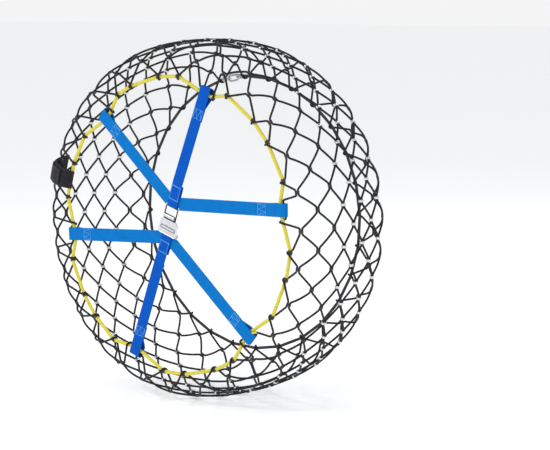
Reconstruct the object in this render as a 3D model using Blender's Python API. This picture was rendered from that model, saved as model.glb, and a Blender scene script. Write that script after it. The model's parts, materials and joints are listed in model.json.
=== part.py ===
"""Textile snow chain for a 235/55 R17 car tyre, as it sits on the wheel.

A diamond net of braided cord covers the tread and both shoulders. Its outboard tips hang on a
yellow outer cord, its inboard tips on an inner cord with a snap hook. Six webbing straps pull
the outer cord to the middle, where a wire ring and a hook plate close them.

Frame: the wheel's centre is the origin, the axle runs along Y, outboard is -Y and +Z is up.
"""
import math

import bmesh
import bpy
from mathutils import Matrix, Vector

# Tyre section that the net is stretched over, measured to the middle of the net's cords
SECTION_HALF_WIDTH = 0.1244
CROWN_RADIUS = 0.3471
WIDEST_RADIUS = 0.3001
SECTION_POWER = 2.73
SECTION_STEPS = 2000

# Net: 28 diamonds round the tyre, rows of crossings counted from the outer cord inwards
DIAMONDS = 28
CROWN_ROW = 5
CROWN_ROW_Y = -0.0039
OUTBOARD_GAPS = (0.0277, 0.0283, 0.0369, 0.0346, 0.0301)
INBOARD_GAPS = (0.0279, 0.0290, 0.0280, 0.0340, 0.0320, 0.0300)
LAST_ROW = len(OUTBOARD_GAPS) + len(INBOARD_GAPS)
HALF_STEPS = 2 * DIAMONDS
HALF_STEP = 2 * math.pi / HALF_STEPS
FIRST_ANGLE = math.radians(71.7)
NET_SKEW = math.radians(7.7)  # turn of the net per metre across the tyre
TIP_SWAY = math.radians(1.34)  # neighbouring outer tips lean together in pairs
NET_CORD_RADIUS = 0.00205
TIP_SETBACK = 0.0031  # from the crossing to each cord's middle
CLIP_SETBACK = 0.0023  # the same, where a clip holds the two cords side by side
CLIP_RUN = 0.004  # half the length that they lie side by side

# Clips that meet the road at the bottom of the wheel
CLIP_ROWS = range(4, 9)
CLIP_STEPS = range(27, 36)
CLIP_HALF_LENGTH = 0.0025
CLIP_HOLE = (0.00475, 0.0025)
CLIP_WALL = 0.0007

# Outer cord and the six straps on it, counted in tips from the upper right strap
OUTER_CORD_RADIUS = 0.0035
STRAP_TIPS = {
    "strap_upper_right": 0,
    "strap_upper_left": 5,
    "strap_left": 9,
    "strap_lower_left": 14,
    "strap_lower_right": 19,
    "strap_right": 23,
}
STRAP_CORD_RADIUS = 0.267  # the straps pull the outer cord in to here
OUTER_SHIFT = (0.0071, -0.0060)  # how far right of and above the axle its middle lies
TIP_TURNS = {4: -2.0, 5: -6.5, 6: -2.0, 7: -4.5, 13: -2.5, 19: -3.0}  # degrees
STRAIGHT_RUN = 0.0135  # half the straight run of cord under a strap
SLEEVE_TIP = STRAP_TIPS["strap_lower_right"]
SLEEVE_HALF_LENGTH = 0.011
SLEEVE_RADII = (0.0050, 0.0038)
WRAP_OUT = 0.0070  # how far a net cord passes outside the cord it hangs on
WRAP_IN = (0.0067, 0.0037)

# Webbing
WEB_HALF_WIDTH = 0.0125
WEB_THICKNESS = 0.0014
LAYER_PITCH = 0.0017
LOOP_HALF = 0.0060  # from the outer cord to each layer of the loop
LOOP_END = 0.0078
DOUBLED_LENGTH = 0.052
HUB_FLAT = 0.028
UPPER_TURN_BACK, LOWER_TURN_BACK = 0.0430, 0.0425

# Buckle. It lies along the line of the upper right strap
BUCKLE_Y = -0.134
BUCKLE_SIDE = 0.0047  # the buckle's middle lies this far to the right of the axle
UPPER_HUB, UPPER_NOTCH = 0.0420, 0.0388
LOWER_HUB, LOWER_NOTCH = -0.0275, -0.0242
HUB_OVERLAP = 0.006
UPPER_STACK = 0.0025  # outboard of the hook plate's middle
LOWER_STACK = -0.0048
RING_WIRE = 0.00125
RING_HALF_WIDTH = 0.01485
RING_TOP = 0.0365
RING_BOTTOM = 0.0091
RING_CORNER = 0.003
PLATE_THICKNESS = 0.002
PLATE_HALF_WIDTH = 0.0232
SHOULDER_HALF_WIDTH = 0.0165
TONGUE_HALF_WIDTH = 0.013
ROLL_CENTRE = (0.0032, 0.0152)
ROLL_RADIUS = 0.0032
BAR_AT = 0.0190  # the strap bar, below the wheel's centre
BAR_RADIUS = 0.0014
EAR_INNER, EAR_OUTER = 0.0210, 0.0228
BAR_HALF_LENGTH = 0.0245

# Inner cord and its snap hook
INNER_CORD_RADIUS = 0.0030
HOOK_STEP = 3  # the net step that the snap hook lies at
SOCKET_RADII = (0.0050, 0.0033)
SOCKET_START, SOCKET_END = 0.0190, 0.0262
HOOK_WIRE = 0.0020
GATE_PIVOT = (-0.0105, 0.0052)
GATE_LENGTH = 0.0158
GATE_HALF_THICKNESS = 0.0013
GATE_PIN_RADIUS = 0.0009

# Closing tab over the left shoulder
TAB_ANGLE = math.radians(165.5)
TAB_HALF_WIDTH = 0.019
TAB_THICKNESS = 0.0035
TAB_FLAP_THICKNESS = 0.0025
GAP = 0.0003
RUNNING_GAP = 0.0001

OUTBOARD = Vector((0, -1, 0))


# ---- scene and materials -------------------------------------------------------------------

def clear_scene():
    for thing in list(bpy.data.objects):
        bpy.data.objects.remove(thing, do_unlink=True)


def finish_of(name, colour, roughness, metallic=0.0):
    material = bpy.data.materials.new(name)
    material.use_nodes = True
    shader = material.node_tree.nodes["Principled BSDF"]
    shader.inputs["Base Color"].default_value = (*colour, 1.0)
    shader.inputs["Roughness"].default_value = roughness
    shader.inputs["Metallic"].default_value = metallic
    return material


def add_object(name, points, faces, material, origin=(0, 0, 0), smooth=True):
    """A closed mesh object. Its origin is where its joint is, or the wheel's centre."""
    origin = Vector(origin)
    mesh = bpy.data.meshes.new(name)
    mesh.from_pydata([Vector(p) - origin for p in points], [], faces)
    work = bmesh.new()
    work.from_mesh(mesh)
    bmesh.ops.recalc_face_normals(work, faces=work.faces)
    work.to_mesh(mesh)
    work.free()
    if smooth:
        mesh.shade_smooth()
        mesh.set_sharp_from_angle(angle=math.radians(50))
    mesh.materials.append(material)
    item = bpy.data.objects.new(name, mesh)
    item.location = origin
    bpy.context.collection.objects.link(item)
    return item


def combine(item, other, operation):
    """Joins or cuts item with other, and removes other."""
    step = item.modifiers.new(operation.lower(), "BOOLEAN")
    step.operation = operation
    step.solver = "EXACT"
    step.object = other
    bpy.context.view_layer.update()
    seen = item.evaluated_get(bpy.context.evaluated_depsgraph_get())
    made = bpy.data.meshes.new_from_object(seen)
    item.modifiers.remove(step)
    item.data = made
    bpy.data.objects.remove(other, do_unlink=True)


# ---- sweeps --------------------------------------------------------------------------------

def mitred(points, offsets_of, closed):
    """Section points at each corner of a path, on the plane that halves the corner."""
    count = len(points)
    last = count if closed else count - 1
    ways = [(points[(i + 1) % count] - points[i]).normalized() for i in range(last)]
    rings = []
    for i, place in enumerate(points):
        before = i - 1 if closed or i > 0 else 0
        after = i if i < last else last - 1
        plane = (ways[before] + ways[after]).normalized()
        ring = [Vector() for _ in offsets_of(before)]
        for leg in (before, after):
            way = ways[leg]
            for j, offset in enumerate(offsets_of(leg)):
                ring[j] += 0.5 * (offset - way * (offset.dot(plane) / way.dot(plane)))
        rings.append([place + offset for offset in ring])
    return rings


def skin(rings, closed):
    """Vertices and faces of a tube through rings of equal size, with caps if it is open."""
    sides = len(rings[0])
    points = [p for ring in rings for p in ring]
    count = len(rings)
    faces = []
    for i in range(count if closed else count - 1):
        a, b = i * sides, ((i + 1) % count) * sides
        faces += [(a + j, a + (j + 1) % sides, b + (j + 1) % sides, b + j) for j in range(sides)]
    if not closed:
        faces.append(tuple(range(sides)))
        faces.append(tuple(range((count - 1) * sides, count * sides)))
    return points, faces


def tube(name, points, normals, radius, sides, material, closed=False, origin=(0, 0, 0)):
    """A round cord or wire. Each normal says which way the section faces at that point."""
    points = [Vector(p) for p in points]
    count = len(points)

    def offsets(leg):
        a, b = points[leg % count], points[(leg + 1) % count]
        way = (b - a).normalized()
        normal = Vector(normals[leg % count]) + Vector(normals[(leg + 1) % count])
        normal = (normal - way * normal.dot(way)).normalized()
        side = way.cross(normal)
        turns = (2 * math.pi * j / sides for j in range(sides))
        return [radius * (math.cos(t) * normal + math.sin(t) * side) for t in turns]

    return add_object(name, *skin(mitred(points, offsets, closed), closed), material, origin)


def ribbon(path, half_widths, thickness, place):
    """A flat strip along path, whose points are (distance, height) pairs.

    place turns (across, distance, height) into a point.
    """
    flat = [Vector((0.0, d, h)) for d, h in path]

    def offsets(leg):
        way = (flat[leg + 1] - flat[leg]).normalized()
        normal = Vector((0.0, -way.z, way.y))
        return [normal * thickness / 2, -normal * thickness / 2]

    rings = []
    for (top, low), half in zip(mitred(flat, offsets, False), half_widths):
        corners = [(-half, top), (half, top), (half, low), (-half, low)]
        rings.append([place(across, p.y, p.z) for across, p in corners])
    return skin(rings, False)


def prism(outline, near, far):
    """An outline pushed from near to far, both functions from an outline point to a place."""
    count = len(outline)
    points = [near(p) for p in outline] + [far(p) for p in outline]
    faces = [tuple(range(count)), tuple(range(count, 2 * count))]
    faces += [(i, (i + 1) % count, count + (i + 1) % count, count + i) for i in range(count)]
    return points, faces


def arc(centre, radius, start, end, steps):
    turns = (math.radians(start + (end - start) * i / steps) for i in range(steps + 1))
    return [(centre[0] + radius * math.cos(t), centre[1] + radius * math.sin(t)) for t in turns]


# ---- the tyre's section and the net's crossings --------------------------------------------

def section_curve():
    """Points (y, radius) along the tyre's section, with the distance to each from the first."""
    curve, distances = [], [0.0]
    for i in range(SECTION_STEPS + 1):
        turn = math.pi * (1.6 * i / SECTION_STEPS - 0.8)
        s, c = math.sin(turn), math.cos(turn)
        size = (abs(s) ** SECTION_POWER + abs(c) ** SECTION_POWER) ** (-1 / SECTION_POWER)
        height = (CROWN_RADIUS - WIDEST_RADIUS) * size * c
        curve.append((SECTION_HALF_WIDTH * size * s, WIDEST_RADIUS + height))
        if i:
            distances.append(distances[-1] + math.dist(curve[-1], curve[-2]))
    return curve, distances


CURVE, ALONG = section_curve()


def on_section(distance):
    """The place (y, radius) at a distance along the section, and the way along it there."""
    i = next(n for n in range(1, len(ALONG)) if ALONG[n] >= distance)
    share = (distance - ALONG[i - 1]) / (ALONG[i] - ALONG[i - 1])
    (y0, r0), (y1, r1) = CURVE[i - 1], CURVE[i]
    length = math.dist(CURVE[i], CURVE[i - 1])
    return y0 + share * (y1 - y0), r0 + share * (r1 - r0), (y1 - y0) / length, (r1 - r0) / length


def row_distances():
    """How far along the section each row of crossings lies."""
    crown = min(range(len(CURVE)), key=lambda n: (abs(CURVE[n][0] - CROWN_ROW_Y), -CURVE[n][1]))
    rows = [ALONG[crown]]
    for gap in OUTBOARD_GAPS:
        rows.insert(0, rows[0] - gap)
    for gap in INBOARD_GAPS:
        rows.append(rows[-1] + gap)
    return rows


ROW_DISTANCES = row_distances()
ROWS = [on_section(d) for d in ROW_DISTANCES]
OUTER_Y, OUTER_RADIUS = ROWS[0][:2]
INNER_Y, INNER_RADIUS = ROWS[LAST_ROW][:2]


def spoke(angle):
    """The outward way and the way round the wheel at an angle."""
    c, s = math.cos(angle), math.sin(angle)
    return Vector((c, 0, s)), Vector((-s, 0, c))


def net_angle(row, step):
    angle = FIRST_ANGLE + step * HALF_STEP + NET_SKEW * (ROWS[row][0] - OUTER_Y)
    if row == 0:
        angle += TIP_SWAY if (step // 2) % 2 else -TIP_SWAY
        angle += math.radians(TIP_TURNS.get(step // 2, 0.0))
    return angle


def hung(angle, radius):
    """A radius of the outer cord, whose middle lies a little off the axle."""
    right, up = OUTER_SHIFT
    return radius + right * math.cos(angle) + up * math.sin(angle)


def at_ring(angle, radius, y, around=0.0, out=0.0, over=0.0):
    """A place by a ring: moved along the ring, away from the axle, and along Y."""
    outward, round_way = spoke(angle)
    return outward * (radius + out) + round_way * around + Vector((0, y + over, 0))


def crossing(row, step, back=0.0, around=0.0, lift=0.0):
    """A place at a crossing, moved along the section, round the wheel and off the tyre."""
    y, radius, way_y, way_r = ROWS[row]
    outward, round_way = spoke(net_angle(row, step))
    along = Vector((0, way_y, 0)) + outward * way_r
    off = Vector((0, -way_r, 0)) + outward * way_y
    place = outward * radius + Vector((0, y, 0))
    return place + along * back + round_way * around + off * lift, off


def strap_at(step):
    """The name of the strap at an outer tip, or None."""
    found = [name for name, tip in STRAP_TIPS.items() if 2 * tip == step]
    return found[0] if found else None


# ---- net ------------------------------------------------------------------------------------

def has_clip(row, step):
    return row in CLIP_ROWS and step in CLIP_STEPS


def tip_points(row, step, side):
    """A cord's points at one crossing. side is 1 on the row's inboard cord, -1 on the other."""
    if has_clip(row, step):
        runs = (-CLIP_RUN, CLIP_RUN)
        return [crossing(row, step, side * CLIP_SETBACK, around) for around in runs]
    return [crossing(row, step, side * TIP_SETBACK)]


def wrap_points(angle, radius, y, away, shift=0.0):
    """A cord that comes from the tread, goes round a ring's cord and back to the tread.

    away is -1 for the outer cord and 1 for the inner one: the side that the cord arrives on.
    """
    deep, near = WRAP_IN
    moves = [(-0.0026, 0, WRAP_OUT), (-0.001, -deep, near), (0.001, -deep, -near)]
    moves.append((0.0026, 0, -WRAP_OUT))
    outward = spoke(angle)[0]
    points = []
    for around, out, over in moves:
        normal = outward * out + Vector((0, away * over, 0))
        points.append((at_ring(angle, radius, y, around + shift, out, away * over), normal))
    return points


def strap_tip_points(angle):
    """The same at a strap: round the outer cord beside the strap, then through its loop."""
    radius = hung(angle, STRAP_CORD_RADIUS)
    route = wrap_points(angle, radius + 0.0014, OUTER_Y, -1, shift=-0.0205)
    outward = spoke(angle)[0]
    moves = [(-0.0165, 0.0075, 0.0030), (-0.0145, 0.0078, 0.0), (0.0178, 0.0078, 0.0)]
    for around, out, over in moves:
        normal = outward * out + Vector((0, over, 0))
        route.append((at_ring(angle, radius, OUTER_Y, around, out, over), normal))
    return route


def net_row(band, material):
    """One zigzag cord between two rows of crossings, all the way round."""
    path = []
    for step in range(HALF_STEPS):
        row = band if (step - band) % 2 == 0 else band + 1
        angle = net_angle(row, step)
        if row == 0 and strap_at(step):
            path += strap_tip_points(angle)
        elif row == 0:
            path += wrap_points(angle, hung(angle, OUTER_RADIUS), OUTER_Y, -1)
        elif row == LAST_ROW:
            path += wrap_points(angle, INNER_RADIUS, INNER_Y, 1)
        else:
            path += tip_points(row, step, 1 if row == band else -1)
    points, normals = zip(*path)
    name = f"net_row_{band + 1:02d}"
    tube(name, points, normals, NET_CORD_RADIUS, 6, material, closed=True)


def road_clip(number, row, step, material):
    """A steel band round the two cords of a crossing, with a flat face to the road."""
    hole_back, hole_lift = CLIP_HOLE
    rings = []
    ends = [(-CLIP_HALF_LENGTH, 0), (CLIP_HALF_LENGTH, 0)]
    ends += [(CLIP_HALF_LENGTH, -CLIP_WALL), (-CLIP_HALF_LENGTH, -CLIP_WALL)]
    corners = ((1, 1), (1, -1), (-1, -1), (-1, 1))
    for a, b in corners:
        ring = []
        for around, wall in ends:
            back = a * (hole_back + CLIP_WALL + wall)
            lift = b * (hole_lift + CLIP_WALL + wall)
            ring.append(crossing(row, step, back, around, lift)[0])
        rings.append(ring)
    points, faces = skin(rings, True)
    add_object(f"road_clip_{number:02d}", points, faces, material, smooth=False)


def clip_spots():
    return [(row, step) for row in CLIP_ROWS for step in CLIP_STEPS if (step - row) % 2 == 0]


# ---- outer cord ------------------------------------------------------------------------------

def outer_cord(material):
    """Starts and ends in the sleeve, and passes every tip of the net in between."""
    centre = net_angle(0, 2 * SLEEVE_TIP)
    joined = hung(centre, STRAP_CORD_RADIUS)
    points = [at_ring(centre, joined, OUTER_Y, run) for run in (GAP, STRAIGHT_RUN)]
    for move in range(1, DIAMONDS):
        tip = (SLEEVE_TIP + move) % DIAMONDS
        angle = net_angle(0, 2 * tip)
        if strap_at(2 * tip):
            radius, runs = hung(angle, STRAP_CORD_RADIUS), (-STRAIGHT_RUN, STRAIGHT_RUN)
        else:
            radius, runs = hung(angle, OUTER_RADIUS), (0.0,)
        points += [at_ring(angle, radius, OUTER_Y, run) for run in runs]
    points += [at_ring(centre, joined, OUTER_Y, run) for run in (-STRAIGHT_RUN, -GAP)]
    normals = [OUTBOARD] * len(points)
    tube("outer_cord", points, normals, OUTER_CORD_RADIUS, 8, material)


def hollow_bar(start, end, radii, normal, sides=12):
    """Vertices and faces of a straight tube with a wall."""
    start, end, normal = Vector(start), Vector(end), Vector(normal)
    way = (end - start).normalized()
    side = way.cross(normal)
    outer, inner = radii
    rings = []
    for j in range(sides):
        turn = 2 * math.pi * j / sides
        off = math.cos(turn) * normal + math.sin(turn) * side
        grow = 1 / math.cos(math.pi / sides)  # keeps the bore's flats clear of the cord
        ends = ((start, outer), (end, outer), (end, inner * grow), (start, inner * grow))
        rings.append([place + off * radius for place, radius in ends])
    return skin(rings, True)


def outer_cord_sleeve(material):
    angle = net_angle(0, 2 * SLEEVE_TIP)
    radius = hung(angle, STRAP_CORD_RADIUS)
    ends = [
        at_ring(angle, radius, OUTER_Y, run) for run in (-SLEEVE_HALF_LENGTH, SLEEVE_HALF_LENGTH)
    ]
    points, faces = hollow_bar(*ends, SLEEVE_RADII, OUTBOARD)
    add_object("outer_cord_sleeve", points, faces, material)


# ---- straps ----------------------------------------------------------------------------------

BUCKLE_UP, BUCKLE_LEFT = spoke(FIRST_ANGLE)


def on_buckle(right, up, out):
    """A place on the buckle: to its right, along its upper strap, and outboard."""
    across = -BUCKLE_LEFT * (right + BUCKLE_SIDE)
    return across + BUCKLE_UP * up + Vector((0, BUCKLE_Y - out, 0))


def loop_path(reach, hub_y, flat_end):
    """A strap's path round the outer cord, as (distance, y), from the end of its flat part."""
    front, back = OUTER_Y - LOOP_HALF, OUTER_Y + LOOP_HALF
    bend = reach - 0.008
    path = [(bend, front)]
    for turn in (math.radians(30 * i - 90) for i in range(7)):
        out = LOOP_END + LOOP_HALF * math.cos(turn)
        path.append((reach + out, OUTER_Y + LOOP_HALF * math.sin(turn)))
    path.append((bend, back))
    for share in (0.5, 1.0):
        distance = reach - DOUBLED_LENGTH * share
        slope = (front - hub_y) * (bend - distance) / (bend - flat_end)
        path.append((distance, front - slope + LAYER_PITCH))
    return path


def strap(name, hub, stack, start, material, side=None):
    """A strap from its hub to its loop. start is its path from the hub, as (distance, out)."""
    angle = net_angle(0, 2 * STRAP_TIPS[name])
    tip = at_ring(angle, hung(angle, STRAP_CORD_RADIUS), 0.0)
    base = on_buckle(0, hub, 0)
    base.y = 0.0
    reach = (tip - base).length
    way = (tip - base).normalized()
    side = side or way.cross(Vector((0, 1, 0)))
    path = [(distance, BUCKLE_Y - stack - out) for distance, out in start]
    flat_end, hub_y = path[-1]
    path += loop_path(reach, hub_y, flat_end)
    widths = [WEB_HALF_WIDTH] * len(path)

    def place(across, distance, y):
        return base + way * distance + side * across + Vector((0, y, 0))

    return add_object(name, *ribbon(path, widths, WEB_THICKNESS, place), material)


def middle_strap(name, bar, stack, turn_back, material):
    """A strap that turns round a bar of the buckle and ends behind itself."""
    half = 1.5 * LAYER_PITCH
    start = [(turn_back, -half)]
    for turn in (math.radians(30 * i - 90) for i in range(7)):
        start.append((-half * math.cos(turn), half * math.sin(turn)))
    start.append((turn_back + 0.004, half))
    strap(name, bar, stack, start, material, BUCKLE_LEFT)


def side_strap(name, hub, notch, stack, layer, material):
    """A strap whose end is sewn between the middle strap's two layers.

    notch is the (edge, half width) of what is cut out of it for the ring or the strap bar.
    """
    out = layer * LAYER_PITCH
    item = strap(name, hub, stack, [(-HUB_OVERLAP, out), (HUB_FLAT, out)], material)
    edge, half = notch
    far = edge - math.copysign(0.06, edge)
    outline = [(-half, edge), (half, edge), (half, far), (-half, far)]
    points, faces = prism(
        outline, lambda p: on_buckle(*p, -0.03), lambda p: on_buckle(*p, 0.03)
    )
    combine(item, add_object("notch", points, faces, material), "DIFFERENCE")


# ---- buckle ----------------------------------------------------------------------------------

def link_ring(material):
    """A rectangular wire ring. It turns about its top bar, inside the upper strap's loop."""
    corners = ((1, 1, 0), (-1, 1, 90), (-1, -1, 180), (1, -1, 270))
    path = []
    for right, up, start in corners:
        height = RING_TOP if up > 0 else RING_BOTTOM
        centre = (right * (RING_HALF_WIDTH - RING_CORNER), height - up * RING_CORNER)
        path += arc(centre, RING_CORNER, start, start + 90, 3)
    points = [on_buckle(a, b, UPPER_STACK) for a, b in path]
    hinge = on_buckle(0, RING_TOP, UPPER_STACK)
    normals = [OUTBOARD] * len(points)
    tube("link_ring", points, normals, RING_WIRE, 8, material, closed=True, origin=hinge)


def hook_plate(material):
    """A plate with a rolled lip over the ring's bottom bar, and two ears for the strap bar."""
    roll = arc(ROLL_CENTRE, ROLL_RADIUS, 180, -90, 15)
    path = [(0.0012, -0.0228), (0.0, -0.0215), (0.0, -0.0200), (0.0, 0.0015), (0.0, 0.0095)]
    path += [(0.0, 0.0110)] + roll
    halves = [0.0218, 0.0225, PLATE_HALF_WIDTH, PLATE_HALF_WIDTH, SHOULDER_HALF_WIDTH]
    halves += [TONGUE_HALF_WIDTH] * (len(roll) + 1)
    flipped = [(up, out) for out, up in path]
    points, faces = ribbon(flipped, halves, PLATE_THICKNESS, on_buckle)
    hinge = on_buckle(0, -BAR_AT, LOWER_STACK)
    plate = add_object("hook_plate", points, faces, material, hinge)
    outline = [(-0.0236, -0.0060), (-0.0222, -0.0078), (-0.0160, -0.0078), (-0.0146, -0.0060)]
    outline += [(-0.0130, 0.0), (-0.0215, 0.0)]
    for side in (-1, 1):
        points, faces = prism(
            outline,
            lambda p: on_buckle(side * EAR_INNER, *p),
            lambda p: on_buckle(side * EAR_OUTER, *p),
        )
        combine(plate, add_object("ear", points, faces, material), "UNION")
    ends = [on_buckle(side * 0.03, -BAR_AT, LOWER_STACK) for side in (-1, 1)]
    normals = [OUTBOARD] * 2
    drill = tube("drill", ends, normals, BAR_RADIUS + RUNNING_GAP, 16, material)
    combine(plate, drill, "DIFFERENCE")


def strap_bar(material):
    """The round bar in the plate's ears, with a head at each end."""
    head, shank = 0.0029, BAR_RADIUS
    end, neck = BAR_HALF_LENGTH, EAR_OUTER + GAP
    profile = [(-end, head - 0.0004), (-end + 0.0004, head), (-neck, head), (-neck, shank)]
    profile += [(-a, r) for a, r in reversed(profile)]
    rings = []
    side = BUCKLE_UP
    for a, radius in profile:
        middle = on_buckle(a, -BAR_AT, LOWER_STACK)
        turns = (2 * math.pi * j / 16 for j in range(16))
        ring = [
            middle + radius * (math.cos(t) * OUTBOARD + math.sin(t) * side) for t in turns
        ]
        rings.append(ring)
    hinge = on_buckle(0, -BAR_AT, LOWER_STACK)
    add_object("strap_bar", *skin(rings, False), material, hinge)


def label_panel(material):
    """A blank panel on the plate's front."""
    half, low, high, lip = 0.0192, -0.0132, -0.0050, 0.0006
    hinge = on_buckle(0, -BAR_AT, LOWER_STACK)
    rings = []
    front = PLATE_THICKNESS / 2 + GAP
    for inset, out in ((0.0, front), (0.0, front + 0.0005), (lip, front + 0.0009)):
        outline = [(-half + inset, low + inset), (half - inset, low + inset)]
        outline += [(half - inset, high - inset), (-half + inset, high - inset)]
        rings.append([on_buckle(a, b, out) for a, b in outline])
    add_object("label_panel", *skin(rings, False), material, hinge, smooth=False)


# ---- inner cord and snap hook ----------------------------------------------------------------

def inner_place(around, out, over):
    """A place by the snap hook: along the cord, away from the axle and towards the car."""
    angle = net_angle(LAST_ROW, HOOK_STEP) + HALF_STEP
    flat_radius = INNER_RADIUS * math.cos(HALF_STEP)
    return at_ring(angle, flat_radius, INNER_Y, around, out, over)


def inner_cord(material):
    """Runs from the eye's socket through every inboard tip of the net to the hook's socket."""
    points = [inner_place(SOCKET_START + 0.0015, 0, 0)]
    for move in range(1, DIAMONDS + 1):
        angle = net_angle(LAST_ROW, HOOK_STEP + 2 * move)
        points.append(at_ring(angle, INNER_RADIUS, INNER_Y))
    points.append(inner_place(-SOCKET_START - 0.0015, 0, 0))
    tube("inner_cord", points, [OUTBOARD] * len(points), INNER_CORD_RADIUS, 8, material)


def socket(side, material):
    """A crimped cup round a cord end. side is 1 at the eye and -1 at the hook."""
    radius, bore = SOCKET_RADII
    floor = SOCKET_START + 0.001
    grow = 1 / math.cos(math.pi / 12)
    stations = [(SOCKET_START - 0.0025, 0.0022), (SOCKET_START, radius)]
    stations += [(SOCKET_END, radius), (SOCKET_END, bore * grow), (floor, bore * grow)]
    rings = []
    for around, size in stations:
        turns = (2 * math.pi * j / 12 for j in range(12))
        rings.append([
            inner_place(side * around, size * math.cos(t), size * math.sin(t)) for t in turns
        ])
    return add_object("socket", *skin(rings, False), material)


def snap_hook(material):
    """A wire hook on a socket, with a forked head for the gate."""
    path = [(-0.0185, 0.0), (-0.0135, -0.0015), (-0.0105, -0.0052), (0.0045, -0.0060)]
    path += arc((0.0065, 0.0), 0.0060, -70, 70, 6)
    path += [(0.0060, 0.0058)]
    points = [inner_place(a, b, 0) for a, b in path]
    normals = [Vector((0, 1, 0))] * len(points)
    hook = tube("inner_hook", points, normals, HOOK_WIRE, 8, material)
    head = [(-0.0180, -0.0030), (-0.0120, -0.0030), (-0.0098, -0.0015), (-0.0082, 0.0030)]
    head += [(-0.0082, 0.0066), (-0.0128, 0.0066), (-0.0180, 0.0030)]
    points, faces = prism(
        head, lambda p: inner_place(*p, -0.0034), lambda p: inner_place(*p, 0.0034)
    )
    combine(hook, add_object("head", points, faces, material), "UNION")
    combine(hook, socket(-1, material), "UNION")
    a, b = GATE_PIVOT
    slot = [(a - 0.0030, b - 0.0048), (a + 0.006, b - 0.0048), (a + 0.006, b + 0.006)]
    slot += [(a - 0.0030, b + 0.006)]
    points, faces = prism(
        slot, lambda p: inner_place(*p, -0.0016), lambda p: inner_place(*p, 0.0016)
    )
    combine(hook, add_object("slot", points, faces, material), "DIFFERENCE")
    ends = [inner_place(a, b, over) for over in (-0.006, 0.006)]
    bore = GATE_PIN_RADIUS + RUNNING_GAP
    drill = tube("drill", ends, [spoke(0)[0]] * 2, bore, 12, material)
    combine(hook, drill, "DIFFERENCE")


def gate(material):
    """A flat finger with an eye round the gate's pin. It closes the hook's mouth."""
    a, b = GATE_PIVOT
    outline = arc(GATE_PIVOT, 0.0022, 90, 270, 6)
    outline += [(a + GATE_LENGTH - 0.001, b - 0.0018), (a + GATE_LENGTH, b - 0.0010)]
    outline += [(a + GATE_LENGTH - 0.0005, b + 0.0022)]
    hinge = inner_place(a, b, 0)
    points, faces = prism(
        outline,
        lambda p: inner_place(*p, -GATE_HALF_THICKNESS),
        lambda p: inner_place(*p, GATE_HALF_THICKNESS),
    )
    finger = add_object("inner_gate", points, faces, material, hinge)
    ends = [inner_place(a, b, over) for over in (-0.006, 0.006)]
    bore = GATE_PIN_RADIUS + RUNNING_GAP
    drill = tube("drill", ends, [spoke(0)[0]] * 2, bore, 12, material)
    combine(finger, drill, "DIFFERENCE")


def gate_pin(material):
    a, b = GATE_PIVOT
    stations = [(-0.0045, 0.0018), (-0.0037, 0.0018), (-0.0037, GATE_PIN_RADIUS)]
    stations += [(-over, size) for over, size in reversed(stations)]
    rings = []
    for over, size in stations:
        turns = (2 * math.pi * j / 12 for j in range(12))
        rings.append([
            inner_place(a + size * math.cos(t), b + size * math.sin(t), over) for t in turns
        ])
    add_object("gate_pin", *skin(rings, False), material)


def inner_eye(material):
    """A closed wire bow that the hook catches, on the other cord end's socket."""
    path = arc((0.0105, 0.0032), 0.0020, 180, 90, 3)
    path += [(0.0135, 0.0052), (0.0180, 0.0018), (0.0180, -0.0018), (0.0135, -0.0052)]
    path += arc((0.0105, -0.0032), 0.0020, 270, 180, 3)
    points = [inner_place(a, 0, over) for a, over in path]
    outward = spoke(net_angle(LAST_ROW, HOOK_STEP) + HALF_STEP)[0]
    bow = tube("inner_eye", points, [outward] * len(points), 0.0016, 8, material, closed=True)
    combine(bow, socket(1, material), "UNION")


# ---- closing tab -------------------------------------------------------------------------------

def tab_layer(name, stations, half_width, lift_of, thickness, material):
    """A patch over the shoulder, through stations along the tyre's section.

    lift_of gives its inner face's height over the net's middle at a distance along the section.
    """
    rings = []
    for distance in stations:
        y, radius, way_y, way_r = on_section(distance)
        low = lift_of(distance)
        ring = []
        for lift, sides in ((low, (-1, 0, 1)), (low + thickness, (1, 0, -1))):
            for side in sides:
                outward = spoke(TAB_ANGLE + side * half_width / OUTER_RADIUS)[0]
                place = outward * (radius + way_y * lift) + Vector((0, y - way_r * lift, 0))
                ring.append(place)
        rings.append(ring)
    add_object(name, *skin(rings, False), material)


def closing_tab(material):
    first, second, last = ROW_DISTANCES[0], ROW_DISTANCES[1], ROW_DISTANCES[3]
    start = first - 0.012
    stations = [start + (last - start) * i / 11 for i in range(12)]

    def clear_of_net(distance):
        share = min(max((second - distance) / (second - first), 0.0), 1.0)
        return 0.0040 + 0.0066 * share

    def clear_of_tab(distance):
        return clear_of_net(distance) + TAB_THICKNESS + 2 * GAP

    tab_layer(
        "closing_tab", stations, TAB_HALF_WIDTH, clear_of_net, TAB_THICKNESS, material
    )
    tab_layer(
        "closing_tab_flap", stations[2:-2], TAB_HALF_WIDTH - 0.004, clear_of_tab,
        TAB_FLAP_THICKNESS, material,
    )


# ---- the whole chain -----------------------------------------------------------------------------

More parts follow.
